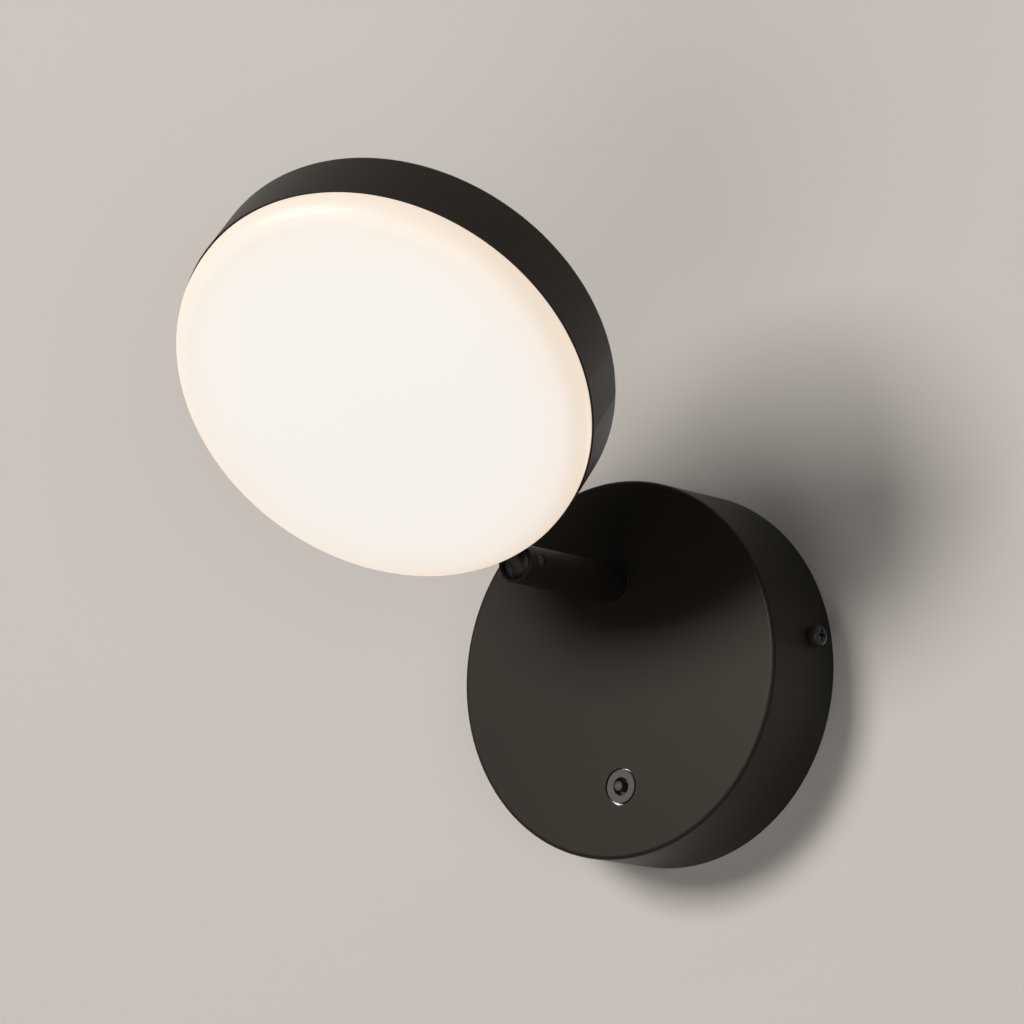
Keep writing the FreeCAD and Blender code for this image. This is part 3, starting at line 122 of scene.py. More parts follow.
class CanopySizes(bpy.types.PropertyGroup):
    """Sizes of the can on the wall."""
    radius: length("Radius", "Outer radius of the can", 50.0)
    depth: length("Depth", "How far the can stands off the wall", 27.5)
    wall: length("Wall", "Thickness of the can's steel", 1.2)
    edge: length("Edge radius", "Rounding of the front edge", 1.0)
    arm_height: length("Arm height", "Height of the arm's axis above the centre", 22.8)
    arm_hole: length("Arm hole", "Radius of the hole for the swivel", 4.65)
    button_drop: length("Button drop", "How far the button is below the centre", 31.0)
    button_hole: length("Button hole", "Radius of the hole round the button's ring", 4.9)
    screw_height: length("Side screw height", "Height of the side screws above the centre", 4.4)
    screw_depth: length("Side screw depth", "Depth of the side screws", 8.5)
    screw_hole: length("Side screw hole", "Radius of the side screws' holes", 1.7)
    screw_head: length("Screw head", "Radius of the side screws' heads", 2.8)
    screw_head_height: length("Screw head height", "Height of the side screws' heads", 2.4)
    screw_shank: length("Screw shank", "Radius of the side screws' shanks", 1.5)
    screw_length: length("Screw length", "Length of the side screws' shanks", 6.0)


class ButtonSizes(bpy.types.PropertyGroup):
    """Sizes of the push button and its ring."""
    ring: length("Ring radius", "Outer radius of the flush ring", 4.4)
    bore: length("Ring bore", "Inner radius of the flush ring", 2.3)
    back: length("Ring back", "Depth of the ring's rear face", 25.1)
    stem: length("Plunger radius", "Radius of the plunger", 1.3)
    proud: length("Plunger projection", "How far the plunger stands out of the ring", 1.2)
    dish: length("Dish depth", "Depth of the dish in the plunger's face", 0.15)
    collar: length("Collar radius", "Radius of the plunger's collar inside the switch", 2.3)
    collar_front: length("Collar front", "Depth of the collar's front", 23.05)
    collar_back: length("Collar back", "Depth of the collar's back", 22.05)
    tail: length("Tail radius", "Radius of the tail inside the spring", 0.9)
    tail_back: length("Tail back", "Depth of the tail's end", 17.05)
    spring_back: length("Spring seat", "Depth of the spring's fixed end", 15.2)
    travel: length("Travel", "How far the plunger goes in", 1.0)


class ArmSizes(bpy.types.PropertyGroup):
    """Sizes of the arm."""
    radius: length("Radius", "Outer radius of the tube", 5.2)
    wall: length("Wall", "Thickness of the tube", 1.0)
    base: length("Base depth", "Depth of the tube's end at the canopy", 28.05)
    end: length("End depth", "Depth of the tube's open end", 70.3)
    chamfer: length("Rim chamfer", "Chamfer of the open end's rim", 0.2)
    swivel: angle("Swivel", "Turn of the arm about its own axis, as photographed", -8.2)
    pivot_inset: length("Pivot inset", "Distance from the open end to the hinge pin", 5.0)
    pin_hole: length("Pin hole", "Radius of the pin's holes", 1.52)
    slot_half: length("Slot half width", "Half the width of the slot for the tongue", 1.9)
    slot_back: length("Slot back", "Depth of the slot's round end", 60.6)


class HeadSizes(bpy.types.PropertyGroup):
    """Sizes of the lamp head."""
    radius: length("Radius", "Outer radius of the shell", 56.0)
    depth: length("Depth", "Depth of the shell", 17.5)
    wall: length("Wall", "Thickness of the shell", 1.0)
    edge: length("Edge radius", "Rounding of the shell's rear edge", 1.2)
    gap: length("Gap", "Distance from the hinge pin to the shell", 7.7)
    tilt: angle("Tilt", "Tilt of the head, as photographed", 42.6)
    slot_half: length("Slot half width", "Half the width of the slot for the tongue", 1.7)
    slot_reach: length("Slot half length", "Half the length of the slot for the tongue", 3.6)
    lip: length("Lip radius", "Radius of the opal front's side", 55.5)
    lip_seat: length("Seat radius", "Radius of the step that seats the opal front", 54.9)
    skirt_outer: length("Skirt outside", "Outer radius of the opal front's skirt", 53.3)
    skirt_inner: length("Skirt inside", "Inner radius of the opal front's skirt", 51.8)
    skirt_reach: length("Skirt reach", "How far the skirt goes into the shell", 4.0)
    lip_step: length("Lip step", "Height of the seat's step", 1.0)
    front: length("Front height", "Height of the opal front's side above the shell's rim", 6.7)
    front_edge: length("Front edge radius", "Rounding of the opal front", 5.4)
    crown: length("Crown", "Rise of the opal front's middle", 2.2)
    opal: length("Opal thickness", "Thickness of the opal front", 2.0)


class Finishes(bpy.types.PropertyGroup):
    """Colours of the finishes."""
    paint: colour("Powder coat", "Matt warm black of the canopy, arm and head", (0.013, 0.0104, 0.0084))
    ring: colour("Button ring", "Dark satin metal of the ring and plunger", (0.052, 0.046, 0.039))
    opal: colour("Opal", "Milky plastic of the opal front", (0.22, 0.213, 0.20))
    glow_middle: colour("Glow, middle", "Light of the opal front's middle", (0.905, 0.865, 0.815))
    glow_limb: colour("Glow, limb", "Light of the opal front near its edge", (0.93, 0.83, 0.72))
    glow_edge: colour("Glow, edge", "Light of the opal front's side", (0.92, 0.76, 0.61))
    screw: colour("Side screws", "Blackened screws", (0.009, 0.009, 0.009))
    pin: colour("Hinge pin", "Dark plated steel", (0.045, 0.038, 0.032))
    green_tracks: colour("Green board", "Tracks of the driver's board", (0.12, 0.36, 0.18))
    white_tracks: colour("White board", "Tracks of the lamp's board", (0.93, 0.93, 0.9))
    earth_stripe: colour("Earth stripe", "Stripe of the earth lead", (0.75, 0.7, 0.08))
    wall: colour("Wall", "Plain painted wall", (0.60, 0.562, 0.525))
    glow: amount("Glow strength", "How strongly the opal front shines", 0.845, 5.0)


class StageSettings(bpy.types.PropertyGroup):
    """Lamps of the stage."""
    key: amount("Key", "Power of the soft lamp at the front left, in watts", 51.0, 500.0)
    side: amount("Side", "Power of the soft lamp at the right, in watts", 10.5, 500.0)
    low: amount("Low", "Power of the broad lamp below, in watts", 11.0, 500.0)
    rear: amount("Rear", "Power of the lamp that lights the back, in watts", 4.0, 500.0)


class WallLightSettings(bpy.types.PropertyGroup):
    """All settings of the light."""
    canopy: bpy.props.PointerProperty(type=CanopySizes)
    button: bpy.props.PointerProperty(type=ButtonSizes)
    arm: bpy.props.PointerProperty(type=ArmSizes)
    head: bpy.props.PointerProperty(type=HeadSizes)
    finishes: bpy.props.PointerProperty(type=Finishes)
    stage: bpy.props.PointerProperty(type=StageSettings)


# ---- stage places ----------------------------------------------------------------------------------------

WARM_WHITE = (1.0, 0.985, 0.96)
LAMPS = {               # width of the square lamp, its place and its tone
    "key": (0.85, (-0.76, -2.30, 0.80), WARM_WHITE),
    "side": (1.2, (1.58, -1.88, -0.43), WARM_WHITE),
    "low": (1.6, (-0.2, -2.0, -1.2), WARM_WHITE),
    "rear": (0.5, (0.0, 1.6, 0.0), (1.0, 1.0, 1.0)),
}
WALL_REACH = 6.0        # half the width of the wall
ROOM_SHARE = 0.2        # brightness of the room in reflections, in shares of the wall's tone
CAMERA_PLACE = (0.75307, -1.07878, -0.21748)
CAMERA_TURNS = (36.76, -11.39, -1.99)   # azimuth, elevation and roll in degrees
CAMERA_LENS = 175.78    # focal length in millimetres
CAMERA_SENSOR = 36.0    # width of the sensor in millimetres
CAMERA_NEAR = 0.05      # clipping distances in metres
CAMERA_FAR = 30.0


# ---- frames ----------------------------------------------------------------------------------------------

def arm_frame(settings):
    """Frame of the arm: on its axis at the wall, turned by the swivel."""
    return (Matrix.Translation((0, 0, settings.canopy.arm_height))
            @ Matrix.Rotation(settings.arm.swivel, 4, "Y"))


def head_frame(settings):
    """Frame of the head: in the middle of the shell, with the front towards -Y."""
    pivot = settings.arm.end - settings.arm.pivot_inset
    reach = settings.head.radius + settings.head.gap
    return (arm_frame(settings) @ Matrix.Translation((0, -pivot, 0))
            @ Matrix.Rotation(settings.head.tilt, 4, "X") @ Matrix.Translation((0, 0, reach)))


# ---- node helpers ----------------------------------------------------------------------------------------

class Nodes:
    """Adds nodes to a tree and fills or links their inputs."""

    def __init__(self, tree):
        self.tree = tree

    def add(self, kind, inputs=None, **options):
        """A new node. An input is a value, or the output socket that feeds it."""
        node = self.tree.nodes.new(kind)
        for option, value in options.items():
            setattr(node, option, value)
        for socket, value in (inputs or {}).items():
            if isinstance(value, bpy.types.NodeSocket):
                self.tree.links.new(value, node.inputs[socket])
            else:
                node.inputs[socket].default_value = value
        return node

    def calc(self, operation, first, second=0.0):
        """The result of one Math node."""
        return self.add("ShaderNodeMath", {0: first, 1: second}, operation=operation).outputs[0]

    def place(self):
        """The place on the piece, in metres."""
        return self.add("ShaderNodeTexCoord").outputs["Object"]


def socket_name(tree, name):
    """Identifier of a node group's input."""
    return next(item.identifier for item in tree.interface.items_tree
                if item.name == name and item.in_out == "INPUT")


def new_tree(name, inputs):
    """A geometry node group with named inputs, its helper and its input node."""
    tree = bpy.data.node_groups.new(name, "GeometryNodeTree")
    for label, kind in inputs:
        tree.interface.new_socket(label, in_out="INPUT", socket_type=kind)
    tree.interface.new_socket("Geometry", in_out="OUTPUT", socket_type="NodeSocketGeometry")
    nodes = Nodes(tree)
    return tree, nodes, nodes.add("NodeGroupInput").outputs


def end_tree(nodes, geometry, finish):
    """Make the geometry real, give it its finish and put it out."""
    real = nodes.add("GeometryNodeRealizeInstances", {"Geometry": geometry})
    done = nodes.add("GeometryNodeSetMaterial", {"Geometry": real.outputs[0], "Material": finish})
    nodes.add("NodeGroupOutput", {0: done.outputs[0]})


def turned_tree():
    """Turns a profile, drawn as points of radius and height, about the Y axis."""
    tree, nodes, given = new_tree("turned_piece", (
        ("Profile", "NodeSocketGeometry"), ("Segments", "NodeSocketInt"), ("Finish", "NodeSocketMaterial")))
    count = nodes.add("GeometryNodeAttributeDomainSize", {0: given["Profile"]}, component="MESH")
    around = nodes.calc("ADD", given["Segments"], 1.0)
    grid = nodes.add("GeometryNodeMeshGrid", {
        "Vertices X": count.outputs["Point Count"], "Vertices Y": around})
    index = nodes.add("GeometryNodeInputIndex").outputs[0]
    along = nodes.calc("FLOOR", nodes.calc("DIVIDE", nodes.calc("ADD", index, 0.5), around))
    step = nodes.calc("SUBTRACT", index, nodes.calc("MULTIPLY", along, around))
    place = nodes.add("GeometryNodeInputPosition").outputs[0]
    point = nodes.add("GeometryNodeSampleIndex", data_type="FLOAT_VECTOR", domain="POINT")
    tree.links.new(given["Profile"], point.inputs["Geometry"])
    tree.links.new(place, point.inputs["Value"])
    tree.links.new(along, point.inputs["Index"])
    profile = nodes.add("ShaderNodeSeparateXYZ", {0: point.outputs[0]}).outputs
    turn = nodes.calc("MULTIPLY", nodes.calc("DIVIDE", step, given["Segments"]), math.tau)
    spot = nodes.add("ShaderNodeCombineXYZ", {
        0: nodes.calc("MULTIPLY", profile[0], nodes.calc("COSINE", turn)), 1: profile[1],
        2: nodes.calc("MULTIPLY", profile[0], nodes.calc("SINE", turn))}).outputs[0]
    moved = nodes.add("GeometryNodeSetPosition", {"Geometry": grid.outputs["Mesh"], "Position": spot})
    closed = nodes.add("GeometryNodeMergeByDistance", {"Geometry": moved.outputs[0], "Distance": SEAM})
    end_tree(nodes, closed.outputs[0], given["Finish"])
    return tree


def scatter_tree():
    """Sets one screw on each point, with its head along the point's aim."""
    tree, nodes, given = new_tree("screw_set", (
        ("Places", "NodeSocketGeometry"), ("Screw", "NodeSocketObject"), ("Finish", "NodeSocketMaterial")))
    screw = nodes.add("GeometryNodeObjectInfo", {"Object": given["Screw"]}, transform_space="ORIGINAL")
    aim = nodes.add("GeometryNodeInputNamedAttribute", {"Name": "aim"}, data_type="FLOAT_VECTOR").outputs[0]
    turn = nodes.add("FunctionNodeAlignRotationToVector", {"Vector": aim}, axis="Z").outputs[0]
    spread = nodes.add("GeometryNodeInstanceOnPoints", {
        "Points": given["Places"], "Instance": screw.outputs["Geometry"], "Rotation": turn})
    end_tree(nodes, spread.outputs[0], given["Finish"])
    return tree


def tree_named(name, maker):
    """The node group of that name, made on first use."""
    return bpy.data.node_groups.get(name) or maker()


# ---- mesh helpers ----------------------------------------------------------------------------------------

def rounded(corners, steps=8):
    """Points of an outline whose corners may carry a rounding radius as a third number."""
    support_share = 0.15    # distance of the points that hold a rounding's ends, in radii
    points = []
    for number, corner in enumerate(corners):
        here = Vector(corner[:2])
        if len(corner) < 3:
            points.append(tuple(here))
            continue
        before = (Vector(corners[number - 1][:2]) - here).normalized()
        after = (Vector(corners[(number + 1) % len(corners)][:2]) - here).normalized()
        half = before.angle(after) / 2
        reach = corner[2] / math.tan(half)
        middle = here + (before + after).normalized() * (corner[2] / math.sin(half))
        first = (here + before * reach - middle).normalized()
        last = (here + after * reach - middle).normalized()
        support = corner[2] * support_share
        points.append(tuple(here + before * (reach + support)))
        for step in range(steps + 1):
            points.append(tuple(middle + first.slerp(last, step / steps) * corner[2]))
        points.append(tuple(here + after * (reach + support)))
    return points


def plain_mesh(piece):
    """Replace the piece's mesh by what its modifiers make of it."""
    mesh = bpy.data.meshes.new_from_object(piece.evaluated_get(bpy.context.evaluated_depsgraph_get()))
    piece.modifiers.clear()
    piece.data = mesh
    return piece


def outward(piece):
    """Merge doubles and make the faces point outwards."""
    shape = bmesh.new()
    shape.from_mesh(piece.data)
    bmesh.ops.remove_doubles(shape, verts=shape.verts, dist=SEAM)
    bmesh.ops.recalc_face_normals(shape, faces=shape.faces)
    shape.to_mesh(piece.data)
    shape.free()
    return piece


def smooth(piece, limit=28.0):
    """Shade smoothly, with edges that turn by more than the limit kept sharp."""
    piece.data.shade_smooth()
    piece.data.set_sharp_from_angle(angle=math.radians(limit))
    return piece


def new_piece(name, points, faces=()):
    """A linked mesh object from plain points."""
    mesh = bpy.data.meshes.new(name)
    mesh.from_pydata([tuple(point) for point in points], [], faces)
    piece = bpy.data.objects.new(name, mesh)
    bpy.context.scene.collection.objects.link(piece)
    return piece


def turned(name, corners, finish, segments=192):
    """A piece turned about the Y axis from a closed profile of radius and depth, with optional roundings."""
    outline = rounded(corners)
    piece = new_piece(name, [(radius, -depth, 0.0) for radius, depth in outline + outline[:1]])
    tree = tree_named("turned_piece", turned_tree)
    lathe = piece.modifiers.new("Turned", "NODES")
    lathe.node_group = tree
    lathe[socket_name(tree, "Segments")] = segments
    lathe[socket_name(tree, "Finish")] = finish
    return outward(plain_mesh(piece))


def rod(name, radius, low, high, finish):
    """A plain cutter along Y between two depths."""
    return turned(name, [(0, low), (0, high), (radius, high), (radius, low)], finish, segments=96)


def block(name, low, high):
    """A box between two corners."""
    points = [(x, y, z) for x in (low[0], high[0]) for y in (low[1], high[1]) for z in (low[2], high[2])]
    faces = [(0, 1, 3, 2), (4, 6, 7, 5), (0, 4, 5, 1), (2, 3, 7, 6), (0, 2, 6, 4), (1, 5, 7, 3)]
    return outward(new_piece(name, points, faces))


def cut(piece, cutters):
    """Take the cutters out of the piece."""
    for cutter in cutters:
        knife = piece.modifiers.new("Cut", "BOOLEAN")
        knife.operation, knife.solver, knife.object = "DIFFERENCE", "EXACT", cutter
    plain_mesh(piece)
    for cutter in cutters:
        bpy.data.objects.remove(cutter)
    return piece


def placed(piece, place):
    """Move the piece's mesh into its frame."""
    piece.data.transform(place)
    return piece


def on_body(piece, body, node):
    """Ride on a body and stand for a solid."""
    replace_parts(piece, node)
    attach(piece, body)


def body_of(node):
    """Name of the body that a solid belongs to."""
    return next(name for name, nodes in frame["record"]["behaviour"]["bodies"].items() if node in nodes)


def welded_copy(node, finish):
    """A smooth-shaded copy of a solid that stands for it."""
    piece = frame["nodes"][node].copy()
    piece.data = piece.data.copy()
    piece.name = node + "_smooth"
    bpy.context.scene.collection.objects.link(piece)
    shape = bmesh.new()
    shape.from_mesh(piece.data)
    bmesh.ops.remove_doubles(shape, verts=shape.verts, dist=WELD)
    shape.to_mesh(piece.data)
    shape.free()
    piece.data.materials.clear()
    piece.data.materials.append(finish)
    smooth(piece, limit=32.0)
    piece.modifiers.new("Flat faces stay flat", "WEIGHTED_NORMAL").keep_sharp = True
    plain_mesh(piece)
    on_body(piece, body_of(node), node)
    return piece


# ---- finishes --------------------------------------------------------------------------------------------

def finish_named(name, maker, *values):
    """The material of that name, made on first use."""
    known = bpy.data.materials.get(name)
    if known:
        return known
    material = bpy.data.materials.new(name)
    material.use_nodes = True
    material.node_tree.nodes.clear()
    nodes = Nodes(material.node_tree)
    maker(nodes, *values)
    return material


def rgb(values):
    """A colour with full alpha."""
    return (*values, 1.0)


def grain(nodes, place, scale, detail=4.0, stretch=(1.0, 1.0, 1.0)):
    """Noise of a scale in features per metre, stretched by a factor on each axis."""
    spread = nodes.add("ShaderNodeMapping", {"Vector": place, "Scale": stretch}).outputs[0]
    return nodes.add("ShaderNodeTexNoise", {"Vector": spread, "Scale": scale, "Detail": detail}).outputs[0]


def ranged(nodes, factor, start, end, low=0.0, high=1.0):
    """A number that runs from low to high while the factor runs from start to end."""
    return nodes.add("ShaderNodeMapRange", {0: factor, 1: start, 2: end, 3: low, 4: high}).outputs[0]


def between(nodes, noise, low, high):
    """A number that runs from low to high over the middle of a noise."""
    return ranged(nodes, noise, start=0.3, end=0.7, low=low, high=high)


def toned(base, factor):
    """A colour made darker or lighter by a factor."""
    return [value * factor for value in base]


def tinted(nodes, factor, first, second):
    """A colour between two by a factor."""
    return nodes.add("ShaderNodeMix", {0: factor, 6: rgb(first), 7: rgb(second)}, data_type="RGBA").outputs[2]


def surface(nodes, colour_socket, roughness, height, distance, **constants):
    """A principled surface with a bump, and its output."""
    inputs = {"Base Color": colour_socket, "Roughness": roughness}
    inputs.update({name.replace("_", " "): value for name, value in constants.items()})
    inputs["Normal"] = nodes.add("ShaderNodeBump", {
        "Strength": BUMP_STRENGTH, "Distance": distance, "Height": height}).outputs[0]
    shader = nodes.add("ShaderNodeBsdfPrincipled", inputs)
    nodes.add("ShaderNodeOutputMaterial", {"Surface": shader.outputs[0]})
    return shader


def off_axis(nodes, place):
    """Distance of a place from the Y axis."""
    flat = nodes.add("ShaderNodeVectorMath", {0: place, 1: (1.0, 0.0, 1.0)}, operation="MULTIPLY").outputs[0]
    return nodes.add("ShaderNodeVectorMath", {0: flat}, operation="LENGTH").outputs["Value"]


def powder_coat(nodes, base):
    """Matt powder coat: fine orange peel, faint mottling and a few paler specks."""
    place = nodes.place()
    peel = grain(nodes, place, scale=2600.0, detail=3.0)
    cloud = grain(nodes, place, scale=45.0)
    fine = grain(nodes, place, scale=9000.0, detail=2.0)
    speck = ranged(nodes, fine, start=0.68, end=0.78)
    mottling = between(nodes, cloud, low=0.0, high=0.3)
    shade = nodes.calc("ADD", mottling, nodes.calc("MULTIPLY", speck, 0.5))
    height = nodes.calc("ADD", peel, nodes.calc("MULTIPLY", fine, 0.5))
    surface(nodes, tinted(nodes, shade, base, toned(base, 1.35)), between(nodes, cloud, low=0.40, high=0.43),
            height, distance=0.000012, Specular_IOR_Level=0.2, Specular_Tint=rgb((1.0, 0.86, 0.74)))


def turned_metal(nodes, base, centre, roughness):
    """Satin metal with fine turning rings about an axis along Y."""
    place = nodes.place()
    spot = nodes.add("ShaderNodeVectorMath", {0: place, 1: centre}, operation="SUBTRACT").outputs[0]
    away = off_axis(nodes, spot)
    rings = nodes.add("ShaderNodeTexNoise", {"W": nodes.calc("MULTIPLY", away, 9000.0), "Scale": 1.0},
                      noise_dimensions="1D").outputs[0]
    cloud = grain(nodes, place, scale=700.0)
    surface(nodes, tinted(nodes, cloud, base, toned(base, 1.35)),
            between(nodes, rings, roughness, roughness + 0.12), rings, distance=0.000006, Metallic=0.55)


def plated_steel(nodes, base, roughness):
    """Zinc plate: pale, with rolled streaks and clouded brightness."""
    place = nodes.place()
    streaks = grain(nodes, place, scale=260.0, detail=6.0, stretch=(1.0, 1.0, 14.0))
    cloud = grain(nodes, place, scale=120.0)
    surface(nodes, tinted(nodes, cloud, toned(base, 0.72), base),
            between(nodes, streaks, roughness, roughness + 0.15), streaks, distance=0.000008, Metallic=1.0)


def moulded(nodes, base, roughness):
    """Moulded plastic: fine spark-eroded grain and a slight change of tone."""
    place = nodes.place()
    spark = grain(nodes, place, scale=3800.0, detail=2.0)
    cloud = grain(nodes, place, scale=60.0)
    surface(nodes, tinted(nodes, cloud, toned(base, 0.86), base),
            between(nodes, spark, roughness, roughness + 0.1), spark, distance=0.00001)


def circuit_board(nodes, mask, copper):
    """Solder mask over copper tracks that show as slightly raised, paler lines."""
    place = nodes.place()
    tracks = nodes.add("ShaderNodeTexBrick", {"Vector": place, "Scale": 160.0, "Mortar Size": 0.05,
                                              "Color1": (0, 0, 0, 1), "Color2": (0, 0, 0, 1),
                                              "Mortar": (1, 1, 1, 1)}).outputs[0]
    weave = grain(nodes, place, scale=2500.0)
    factor = nodes.add("ShaderNodeRGBToBW", {0: tracks}).outputs[0]
    surface(nodes, tinted(nodes, factor, mask, copper), between(nodes, weave, low=0.3, high=0.42),
            factor, distance=0.00002)


def phosphor(nodes, base):
    """Yellow silicone over a diode, pebbled and soft."""
    place = nodes.place()
    pebbles = grain(nodes, place, scale=5200.0)
    surface(nodes, tinted(nodes, pebbles, toned(base, 0.8), base),
            between(nodes, pebbles, low=0.25, high=0.4), pebbles, distance=0.00002)


def extruded(nodes, place, factor, first, second):
    """Glossy extruded plastic with faint draw lines. The factor, or else the lines, part two colours."""
    lines = grain(nodes, place, scale=1800.0, detail=3.0)
    surface(nodes, tinted(nodes, factor or lines, first, second), between(nodes, lines, low=0.28, high=0.4),
            lines, distance=0.000008)


def insulation(nodes, base):
    """Insulation of one colour."""
    place = nodes.place()
    extruded(nodes, place, None, toned(base, 0.85), base)


def earth_insulation(nodes, green, yellow):
    """Green insulation with a yellow stripe that winds with the lead."""
    place = nodes.place()
    stripe = nodes.add("ShaderNodeTexWave", {"Vector": place, "Scale": 90.0, "Distortion": 0.4}).outputs[1]
    split = ranged(nodes, stripe, start=0.45, end=0.55)
    extruded(nodes, place, split, green, yellow)


def lit_opal(nodes, finishes, place_in_head, radius):
    """Opal plastic lit from behind: near white in the middle, warmer and dimmer towards the edge."""
    place = nodes.place()
    spot, turn, _ = place_in_head.decompose()
    local = nodes.add("ShaderNodeMapping", {"Vector": place, "Location": spot, "Rotation": turn.to_euler()},
                      vector_type="TEXTURE").outputs[0]
    reach = nodes.calc("DIVIDE", off_axis(nodes, local), radius)
    cloud = grain(nodes, place, scale=40.0)
    drift = nodes.calc("ADD", reach, nodes.calc("MULTIPLY", nodes.calc("SUBTRACT", cloud, 0.5), 0.02))
    ramp = nodes.add("ShaderNodeValToRGB", {0: drift})
    stops = ((0.0, finishes.glow_middle), (0.80, finishes.glow_middle), (0.94, finishes.glow_limb),
             (1.0, finishes.glow_edge))
    for number, (position, tone) in enumerate(stops):
        stop = ramp.color_ramp.elements[number] if number < 2 else ramp.color_ramp.elements.new(position)
        stop.position, stop.color = position, rgb(tone)
    ramp.color_ramp.interpolation = "B_SPLINE"
    skin = grain(nodes, place, scale=3000.0, detail=2.0)
    milky = tinted(nodes, skin, toned(finishes.opal, 0.96), finishes.opal)
    shader = surface(nodes, milky, between(nodes, skin, low=0.42, high=0.5), skin, distance=0.000005,
                     Emission_Strength=finishes.glow)
    nodes.tree.links.new(ramp.outputs[0], shader.inputs["Emission Color"])


def stage_paint(nodes, base):
    """Matt wall paint on the wall's front. From behind, the camera and the rear lamp see through it."""
    place = nodes.place()
    roller = grain(nodes, place, scale=300.0)
    cloud = grain(nodes, place, scale=2.5)
    paint = nodes.add("ShaderNodeBsdfPrincipled", {
        "Base Color": tinted(nodes, cloud, toned(base, 0.985), base), "Roughness": 0.9,
        "Specular IOR Level": 0.1,
        "Normal": nodes.add("ShaderNodeBump", {"Strength": 0.15, "Distance": 0.00002,
                                               "Height": roller}).outputs[0]})
    behind = nodes.add("ShaderNodeNewGeometry").outputs["Backfacing"]
    rays = nodes.add("ShaderNodeLightPath").outputs
    from_behind = nodes.calc("MULTIPLY", behind, rays["Is Camera Ray"])
    clear = nodes.calc("MAXIMUM", from_behind, rays["Is Shadow Ray"])
    mix = nodes.add("ShaderNodeMixShader", {0: clear, 1: paint.outputs[0],
                                            2: nodes.add("ShaderNodeBsdfTransparent").outputs[0]})
    nodes.add("ShaderNodeOutputMaterial", {"Surface": mix.outputs[0]})


def finish_for(settings, node):
    """The finish of a solid, by the slot that the record gives it."""
    slot = SOLID_SLOTS[node]
    tone = next(tuple(entry["base_color"][:3]) for entry in frame["record"]["materials"]
                if entry["slot"] == slot)
    tones = settings.finishes
    makers = {
        "black_paint": (powder_coat, tones.paint),
        "black_screw": (powder_coat, tones.screw),
        "steel": (plated_steel, tone, 0.32),
        "dark_steel": (plated_steel, tones.pin, 0.5),
        "brass": (plated_steel, tone, 0.28),
        "black_plastic": (moulded, tone, 0.45),
        "white_plastic": (moulded, tone, 0.4),
        "natural_plastic": (moulded, tone, 0.38),
        "nylon": (moulded, tone, 0.35),
        "white_satin": (moulded, tone, 0.25),
        "board_green": (circuit_board, tone, tones.green_tracks),
        "board_white": (circuit_board, tone, tones.white_tracks),
        "chip": (phosphor, tone),
        "lead_brown": (insulation, tone),
        "lead_blue": (insulation, tone),
        "lead_white": (insulation, tone),
        "lead_green": (earth_insulation, tone, tones.earth_stripe),
    }
    return finish_named(slot, *makers[slot])


# ---- screws ----------------------------------------------------------------------------------------------

def pan_head(name, finish, head_radius, head_height, shank_radius, shank_length):
    """One screw with its seat at the origin and its head towards +Z, with a cross recess."""
    screw = turned(name, [
        (0, -shank_length), (shank_radius, -shank_length), (shank_radius, 0), (head_radius, 0),
        (head_radius, head_height, head_height * HEAD_ROUNDING), (0, head_height)], finish, segments=64)
    placed(screw, Matrix.Rotation(math.radians(90), 4, "X").inverted())
    outward(screw)
    half, reach = head_radius * CROSS_WIDTH, head_radius * CROSS_REACH
    low, high = head_height * CROSS_FLOOR, head_height * 2
    knives = [block("recess", (-reach, -half, low), (reach, half, high)),
              block("recess", (-half, -reach, low), (half, reach, high))]
    return smooth(cut(screw, knives))


def screw_set(name, node, finish, places, aim, sizes):
    """Screws of one size at several places, all on one body, in place of a solid."""
    screw = pan_head(name + "_one", finish, *sizes)
    piece = new_piece(name, places)
    direction = piece.data.attributes.new("aim", "FLOAT_VECTOR", "POINT")
    for number, value in enumerate(aim):
        direction.data[number].vector = value
    tree = tree_named("screw_set", scatter_tree)
    spread = piece.modifiers.new("Screws", "NODES")
    spread.node_group = tree
    spread[socket_name(tree, "Screw")] = screw
    spread[socket_name(tree, "Finish")] = finish
    plain_mesh(piece)
    bpy.data.objects.remove(screw)
    smooth(piece)
    on_body(piece, body_of(node), node)


# ---- operators -------------------------------------------------------------------------------------------

class BuildCanopy(bpy.types.Operator):
    """Turn the can from its profile and cut its holes"""
    bl_idname = "wall_light.canopy"
    bl_label = "Canopy"

    def execute(self, context):
        settings = context.scene.wall_light
        can = settings.canopy
        paint = finish_named("powder_coat", powder_coat, settings.finishes.paint)
        inner = can.radius - can.wall
        shell = turned("canopy", [
            (0, can.depth), (can.radius, can.depth, can.edge), (can.radius, 0.0), (inner, 0.0),
            (inner, can.depth - can.wall), (0, can.depth - can.wall)], paint, segments=256)
        low, high = can.depth - can.wall * THROUGH, can.depth + can.wall
        arm_hole = placed(rod("arm_hole", can.arm_hole, low, high, paint),
                          Matrix.Translation((0, 0, can.arm_height)))
        button_hole = placed(rod("button_hole", can.button_hole, low, high, paint),
                             Matrix.Translation((0, 0, -can.button_drop)))
        across = (Matrix.Translation((0, -can.screw_depth, can.screw_height))
                  @ Matrix.Rotation(math.radians(90), 4, "Z"))
        reach = can.radius * PAST
        screw_hole = placed(rod("screw_hole", can.screw_hole, -reach, reach, paint), across)
        smooth(cut(shell, [arm_hole, button_hole, screw_hole]))
        on_body(shell, "canopy", "canopy_shell")
        return {"FINISHED"}


